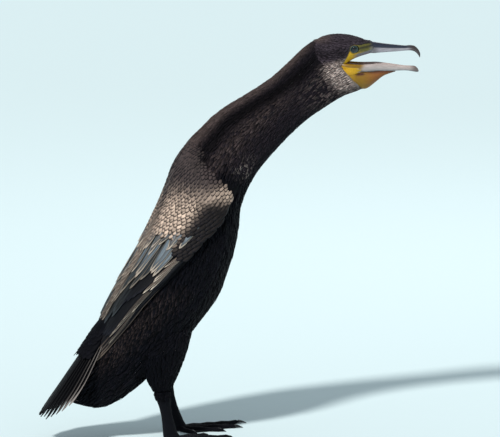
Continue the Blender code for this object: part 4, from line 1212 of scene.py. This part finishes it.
def build_pouch(finish):
    rows = read_rows(POUCH, np.linspace(0.6, len(POUCH) - 1, 61))
    angle = np.linspace(0, 2 * math.pi, 56, endpoint=False)[None, :]
    centre = np.stack([EYE_X + rows[:, None, 0], EYE_Z + (rows[:, None, 1] + rows[:, None, 2]) / 2], axis=-1)
    up = np.stack([0 * rows[:, None, 0], (rows[:, None, 1] - rows[:, None, 2]) / 2], axis=-1)
    rings = on_oval(centre, up, rows[:, None, 3] / 2, angle, 2.1)
    x, z = rings[..., 0] - EYE_X, rings[..., 2] - EYE_Z
    crease = np.exp(-(((x - 7.5) / 6.5) ** 4 + ((z + 36.0) / 1.9) ** 2))
    wrinkle = np.sin(x * 0.9 + 1.6 * np.sin(z * 0.35)) * smooth(-34, -40, z) * 0.16
    rings[..., 1] *= 1 - (0.9 * crease + wrinkle * 0.4) / np.maximum(np.abs(rings[..., 1]), 6)
    colour = mix(np.tile(OCHRE, x.shape + (1,)), ORANGE, smooth(6, 34, x))
    # The dark red-brown along the pouch's crease and low front is partly the skin's own colour and partly
    # painted shade in the fold.
    colour = mix(colour, FOLD_SHADE, 0.7 * smooth(-37, -34, z) * smooth(12, 24, x))
    colour = mix(colour, YELLOW, 0.5 * (1 - smooth(-12, 4, x)))
    colour = mix(colour, FOLD_SHADE, np.clip(crease * 1.2, 0, 1))
    return dress(closed_loft("pouch", rings, finish, colour), "bare_skin", "gular_pouch")


# share of the way down the lower bill, share of its half width there
BILL_SIDE = ((0, 0.86), (0.08, 0.97), (0.28, 1.02), (0.55, 0.98), (0.84, 0.84), (1.0, 0.45), (1.4, 0))


def build_gape_skin(name, side, finish):
    """The yellow skin that runs on from the face over the root of the lower bill to the pouch."""
    x, down = np.meshgrid(np.linspace(-21, 15, 37), np.linspace(0, 1, 21), indexing="ij")
    bill, bag = (
        np.stack([np.interp(x, table[:, 0], table[:, i]) for i in range(1, 4)], axis=-1)
        for table in (LOWER_BILL, POUCH)
    )
    top = np.interp(x, (-21, -8, 6, 15), (-20, -23.5, -25.5, -27.5))
    low = np.interp(x, (-21, -8, 6, 15), (-43, -40, -34.5, -32))
    z = top + (low - top) * down
    fall = (bill[..., 0] - z) / (bill[..., 0] - bill[..., 1])
    on_bill = bill[..., 2] * between(BILL_SIDE, fall)
    height = np.abs(z - (bag[..., 0] + bag[..., 1]) / 2) / (bag[..., 0] - bag[..., 1]) * 2
    on_bag = bag[..., 2] / 2 * np.sqrt(np.clip(1 - height**2.1, 0, 1))
    inner = np.maximum(on_bill, on_bag)
    filled = np.maximum(inner, (inner[:, :1] + (inner[:, -1:] - inner[:, :1]) * down) * 0.99)
    front = x + 3 * np.sin(z * 1.3)
    fade = np.minimum.reduce([smooth(0, 0.18, down), smooth(1, 0.82, down), smooth(15, 5, front)])
    out = filled - 1.3 + 1.75 * fade
    skin = np.stack([EYE_X + x, side * out, EYE_Z + z], axis=-1)
    back = skin - np.array((0, side * 1.6, 0))
    grid = np.concatenate([skin, back[:, ::-1]], axis=1)
    colour = mix(np.tile(YELLOW * 0.85, (*x.shape, 1)), OCHRE, smooth(-30, -42, z))
    colour = mix(colour, BILL_PINK, smooth(3, 12, front))
    colours = np.concatenate([colour, colour[:, ::-1]], axis=1)
    return dress(closed_loft(name, grid, finish, colours), "bare_skin")


def build_eye(word, side, eye_finish, lid_finish):
    """The eyeball and the beaded ring of bare skin round it."""
    rows, columns = 25, 48
    polar, round_it = np.meshgrid(
        np.linspace(0, math.pi, rows), np.linspace(0, 2 * math.pi, columns, endpoint=False), indexing="ij"
    )
    bulge = EYE_RADIUS * (1 + 0.05 * np.exp(-(polar / 0.6) ** 2))
    ball = np.stack([
        EYE_X - EYE_BACK + bulge * np.sin(polar) * np.cos(round_it),
        side * (EYE_SIDE + EYE_OUT + bulge * np.cos(polar)),
        EYE_Z + EYE_RISE + bulge * np.sin(polar) * np.sin(round_it),
    ], axis=-1)
    eye = mesh_piece("eyeball_" + word, world(ball).reshape(-1, 3), grid_faces(rows, columns, True), eye_finish)
    ring = eye.data.attributes.new("Ring", "FLOAT", "POINT")
    ring.data.foreach_set("value", (EYE_RADIUS * np.sin(polar) / 4.9 + 9 * (polar > 1.5)).ravel())
    dress(eye, "eye", "eye_" + word)

    turns, around = 72, 10
    sweep, tube = np.meshgrid(np.linspace(0, 2 * math.pi, turns, endpoint=False),
                              np.linspace(0, 2 * math.pi, around, endpoint=False), indexing="ij")
    bead = 0.72 + 0.12 * np.cos(sweep * 24)
    reach = 5.0 + bead * np.cos(tube)
    tilt = 0.16 * reach * np.cos(sweep) + 0.2 * np.sin(sweep) ** 2
    out = side * (EYE_SIDE + 5.5 + 1.1 * bead * np.sin(tube) - tilt)
    lid = np.stack([
        EYE_X - EYE_BACK + reach * 1.06 * np.cos(sweep), out, EYE_Z + EYE_RISE + reach * 0.96 * np.sin(sweep)
    ], axis=-1).reshape(turns, around, 3)
    faces = []
    for i in range(turns):
        here, there = i * around, (i + 1) % turns * around
        for j in range(around):
            beside = (j + 1) % around
            faces.append((here + j, there + j, there + beside, here + beside))
    dress(mesh_piece("eye_ring_" + word, world(lid).reshape(-1, 3), faces, lid_finish), "bare_skin")


# Tail

def tail_point(distance, below, aside):
    c, s = math.cos(TAIL_SLOPE), math.sin(TAIL_SLOPE)
    x = TAIL_ROOT[0] + distance * c - below * s
    z = TAIL_ROOT[1] + distance * s + below * c
    return np.stack([x + 0 * aside, aside + 0 * x, z + 0 * aside], axis=-1)


def build_tail(finishes):
    """The long stiff tail feathers."""
    rng = np.random.default_rng(SEED + 5)
    along, across, below, _ = LARGE
    half_count = (TAIL_FEATHERS - 1) / 2
    number = np.arange(TAIL_FEATHERS)[:, None]
    place = (number - half_count) / half_count
    rank = np.abs(number - half_count + 0.25) / half_count
    t, s = along[None, :], across[None, :]
    length = (TAIL_LENGTH - TAIL_SHORTEN * place**2) * (1 + 0.012 * rng.standard_normal(number.shape))
    angle = place * TAIL_FAN
    fall = 3.0 + (0.62 * TAIL_TENT * rank + TAIL_DROOP * place**2) * (0.5 + 0.5 * np.minimum(1, 1.5 * t))
    width = 9.6 * outline_width(t, root=0.4, full=0.62) * s
    down = fall - 0.9 * (1 - np.abs(s)) ** 1.5 + 0.45 * below + 0.18 * np.abs(width) * np.abs(place)
    straight_in = t * length
    points = tail_point(straight_in * np.cos(angle) - width * np.sin(angle), down,
                        place * TAIL_ROOT_HALF + straight_in * np.sin(angle) + width * np.cos(angle))
    worn = smooth(0.55, 1.0, np.abs(place[:, 0]))
    centres = np.tile(TAIL_DARK, (TAIL_FEATHERS, 1))
    edges = mix(np.tile(TAIL_DARK * 1.6, (TAIL_FEATHERS, 1)), TAIL_WORN, worn)
    patches = np.column_stack([0.04 + 0.92 * number[:, 0] / TAIL_FEATHERS, np.full(TAIL_FEATHERS, 0.5)])
    piece = join_vanes("tail_feathers", world(points), LARGE, centres, edges, patches, 0.05, finishes["tail"])
    dress(piece, "tail_feather", "tail")


def build_rump(finish):
    """Feathers that lie from the rump over the roots of the tail."""
    rng = np.random.default_rng(SEED + 9)
    rows = []
    for row, distance in enumerate(np.arange(-14, 30, 7.0)):
        count = 9
        for i in range(count):
            rows.append((distance, (i + 0.5 * (row % 2) - count / 2 + 0.25) / (count / 2)))
    distance, place = np.array(rows).T
    count = len(distance)
    along, across, below, _ = MEDIUM
    t, s = along[None, :], across[None, :]
    distance, place = distance[:, None], place[:, None]
    length = 30 + 2 * rng.standard_normal((count, 1))
    width = 6.2 * outline_width(t) * s
    aside = place * (19 + 0.12 * (distance + 14)) + t * length * place * 0.12 + width
    drop = 9.5 * (np.abs(aside) / 26) ** 2.2 - 3.2 + 3.0 * (1 - t) - 0.8 * (1 - s**2) + 0.3 * below
    points = tail_point(distance + t * length, drop, aside)
    tone = 1 + 0.15 * rng.standard_normal((count, 1))
    patches = np.column_stack([0.5 + 0.4 * place[:, 0], 0.2 + 0.6 * (distance[:, 0] + 14) / 44])
    piece = join_vanes("uppertail_coverts", world(points), MEDIUM, BREAST * tone, BREAST_EDGE * 0.8 * tone,
                       patches, 0.02, finish)
    dress(piece, "tail_feather")


# Legs

def build_legs(finish, claw_finish):
    built = []
    for word, (side, _, _, foot_x) in LEGS.items():
        made = remeshed("leg_skin_" + word, ("tarsus_" + word, "foot_" + word), 0.95, 0.2, 2, finish)
        points = points_of(made.data)
        points[:, 2] = np.maximum(points[:, 2], 0.0)
        made.data.vertices.foreach_set("co", points.ravel())
        dress(made, "foot_skin", "tarsus_" + word, "foot_" + word)
        build_claws("claws_" + word, side, foot_x, claw_finish)
        built.append(made)
    return built


def build_claws(name, side, foot_x, finish):
    """A curved claw over each toe's end."""
    points, faces = [], []
    rows, columns = 9, 12
    for _, degrees, length in TOES:
        angle = math.radians(degrees)
        ahead = np.array([math.cos(angle), -side * math.sin(angle), 0])
        across = np.array([side * math.sin(angle), math.cos(angle), 0])
        root = np.array([foot_x, side * LEG_SIDE, 0]) + ahead * (length - 1.5)
        t = np.linspace(0, 1, rows)[:, None]
        around = np.linspace(0, 2 * math.pi, columns, endpoint=False)[None, :]
        size = 2.45 * (1 - t) ** 0.75 + 0.12
        reach = 12.5 * t
        height = 3.0 * (1 - t**1.8) + 0.2 + size * 0.2
        ring = root + ahead * (reach[..., None] + 0 * around[..., None])
        ring = ring + across * (0.85 * size * np.cos(around))[..., None]
        ring[..., 2] = np.maximum(height + size * np.sin(around), 0.05)
        base = len(points)
        points += list(world(ring).reshape(-1, 3))
        faces += [tuple(base + i for i in face) for face in capped_faces(rows, columns)]
    dress(mesh_piece(name, points, faces, finish), "foot_skin")


# Stage, in metres

FLOOR_REACH = 45.0
BIRD_MIDDLE = (0, 0, 0.32)


def build_stage():
    """A wide pale floor. Seen from a little above it fills the whole background."""
    points = [(x * FLOOR_REACH, y * FLOOR_REACH, 0) for x, y in ((-1, -1), (1, -1), (1, 1), (-1, 1))]
    finish = new_material("pale_floor", 0.9, Base_Color=(*screen(218, 236, 240), 1), Specular_IOR_Level=0.1)
    mesh_piece("floor", points, [(0, 1, 2, 3)], finish, False)


def aim_light(data, place):
    """Puts a light at a place in metres and turns it to the bird's middle."""
    made = bpy.data.objects.new(data.name, data)
    made.location = place
    made.rotation_euler = (Vector(BIRD_MIDDLE) - Vector(place)).to_track_quat("-Z", "Y").to_euler()
    bpy.context.scene.collection.objects.link(made)


def build_lights():
    sky = bpy.data.worlds.new("sky")
    sky.use_nodes = True
    sky.node_tree.nodes["Background"].inputs[0].default_value = (0.80, 0.90, 0.95, 1)
    sky.node_tree.nodes["Background"].inputs[1].default_value = 0.42
    bpy.context.scene.world = sky
    sun = bpy.data.lights.new("sun", "SUN")
    sun.energy, sun.angle, sun.color = 3.05, 0.11, (1.0, 0.97, 0.93)
    aim_light(sun, (-2.2, -2.4, 3.6))
    rim = bpy.data.lights.new("rim", "AREA")
    rim.shape, rim.size, rim.energy, rim.color = "DISK", 1.2, 6, (0.93, 0.97, 1.0)
    aim_light(rim, (0.9, 1.6, 1.6))


def build_camera():
    """The photograph's long lens, to the bird's right and a little above it."""
    turn, tilt = math.radians(AZIMUTH), math.radians(ELEVATION)
    right = np.array([math.cos(turn), math.sin(turn), 0])
    back = np.array([math.sin(turn) * math.cos(tilt), -math.cos(turn) * math.cos(tilt), math.sin(tilt)])
    up = np.cross(back, right)
    middle = right * (PHOTO[0] / 2 - FRAME_ORIGIN[0]) * PIXEL + up * (FRAME_ORIGIN[1] - PHOTO[1] / 2) * PIXEL
    data = bpy.data.cameras.new("camera")
    data.sensor_width = 36
    data.lens = 36 * CAMERA_AWAY / (PHOTO[0] * PIXEL)
    data.clip_end = 100
    made = bpy.data.objects.new("camera", data)
    made.location = (middle + SHIFT + back * CAMERA_AWAY) * MM
    made.rotation_euler = Matrix(np.column_stack([right, up, back])).to_euler()
    bpy.context.scene.collection.objects.link(made)
    bpy.context.scene.camera = made


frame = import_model()
bpy.context.scene.view_settings.view_transform = "Standard"
SHIFT = packed_shift()
build_camera()
build_lights()
build_stage()
finishes = {
    "coat": feather_material("plumage", 0.6, 0.5, 1.0, 0.0, 0.25, Specular_IOR_Level=0.06),
    "scale": feather_material("scale_feather", 0.5, 0.56, 0.95, 0.25, Specular_IOR_Level=0.15),
    # The slate feathers darken towards their rims as painted shade.
    "slate": feather_material("slate_feather", 0.42, 0.74, 0.94, 0.5, vane_shade=0.75, Specular_IOR_Level=0.3),
    "quill": feather_material("flight_feather", 0.45, 0.72, 0.95, 0.3, Specular_IOR_Level=0.15),
    "tail": feather_material("tail_feather", 0.5, 0.72, 0.98, 0.8, pale_shaft=True, Specular_IOR_Level=0.08),
    "under": plain_material("wing_underlay", BLACK, 0.8, Specular_IOR_Level=0.1),
}
skin = build_skin(skin_material())
legs = build_legs(scaly_material(), plain_material("claw", CLAW, 0.3))
build_coat(search_tree([skin, *legs]), finishes["coat"])
for side in (1, -1):
    build_wing(side, finishes)
back_feathers(np.random.default_rng(SEED + 3), finishes["scale"])
build_tail(finishes)
build_rump(finishes["coat"])
horn = horn_material()
build_upper_bill(horn)
build_lower_bill(horn)
build_pouch(skin_material())
lids = plain_material("eye_ring", screen(58, 74, 68), 0.5)
for word, side in (("left", 1), ("right", -1)):
    build_eye(word, side, eye_material(), lids)
    build_gape_skin("gape_skin_" + word, side, skin_material())
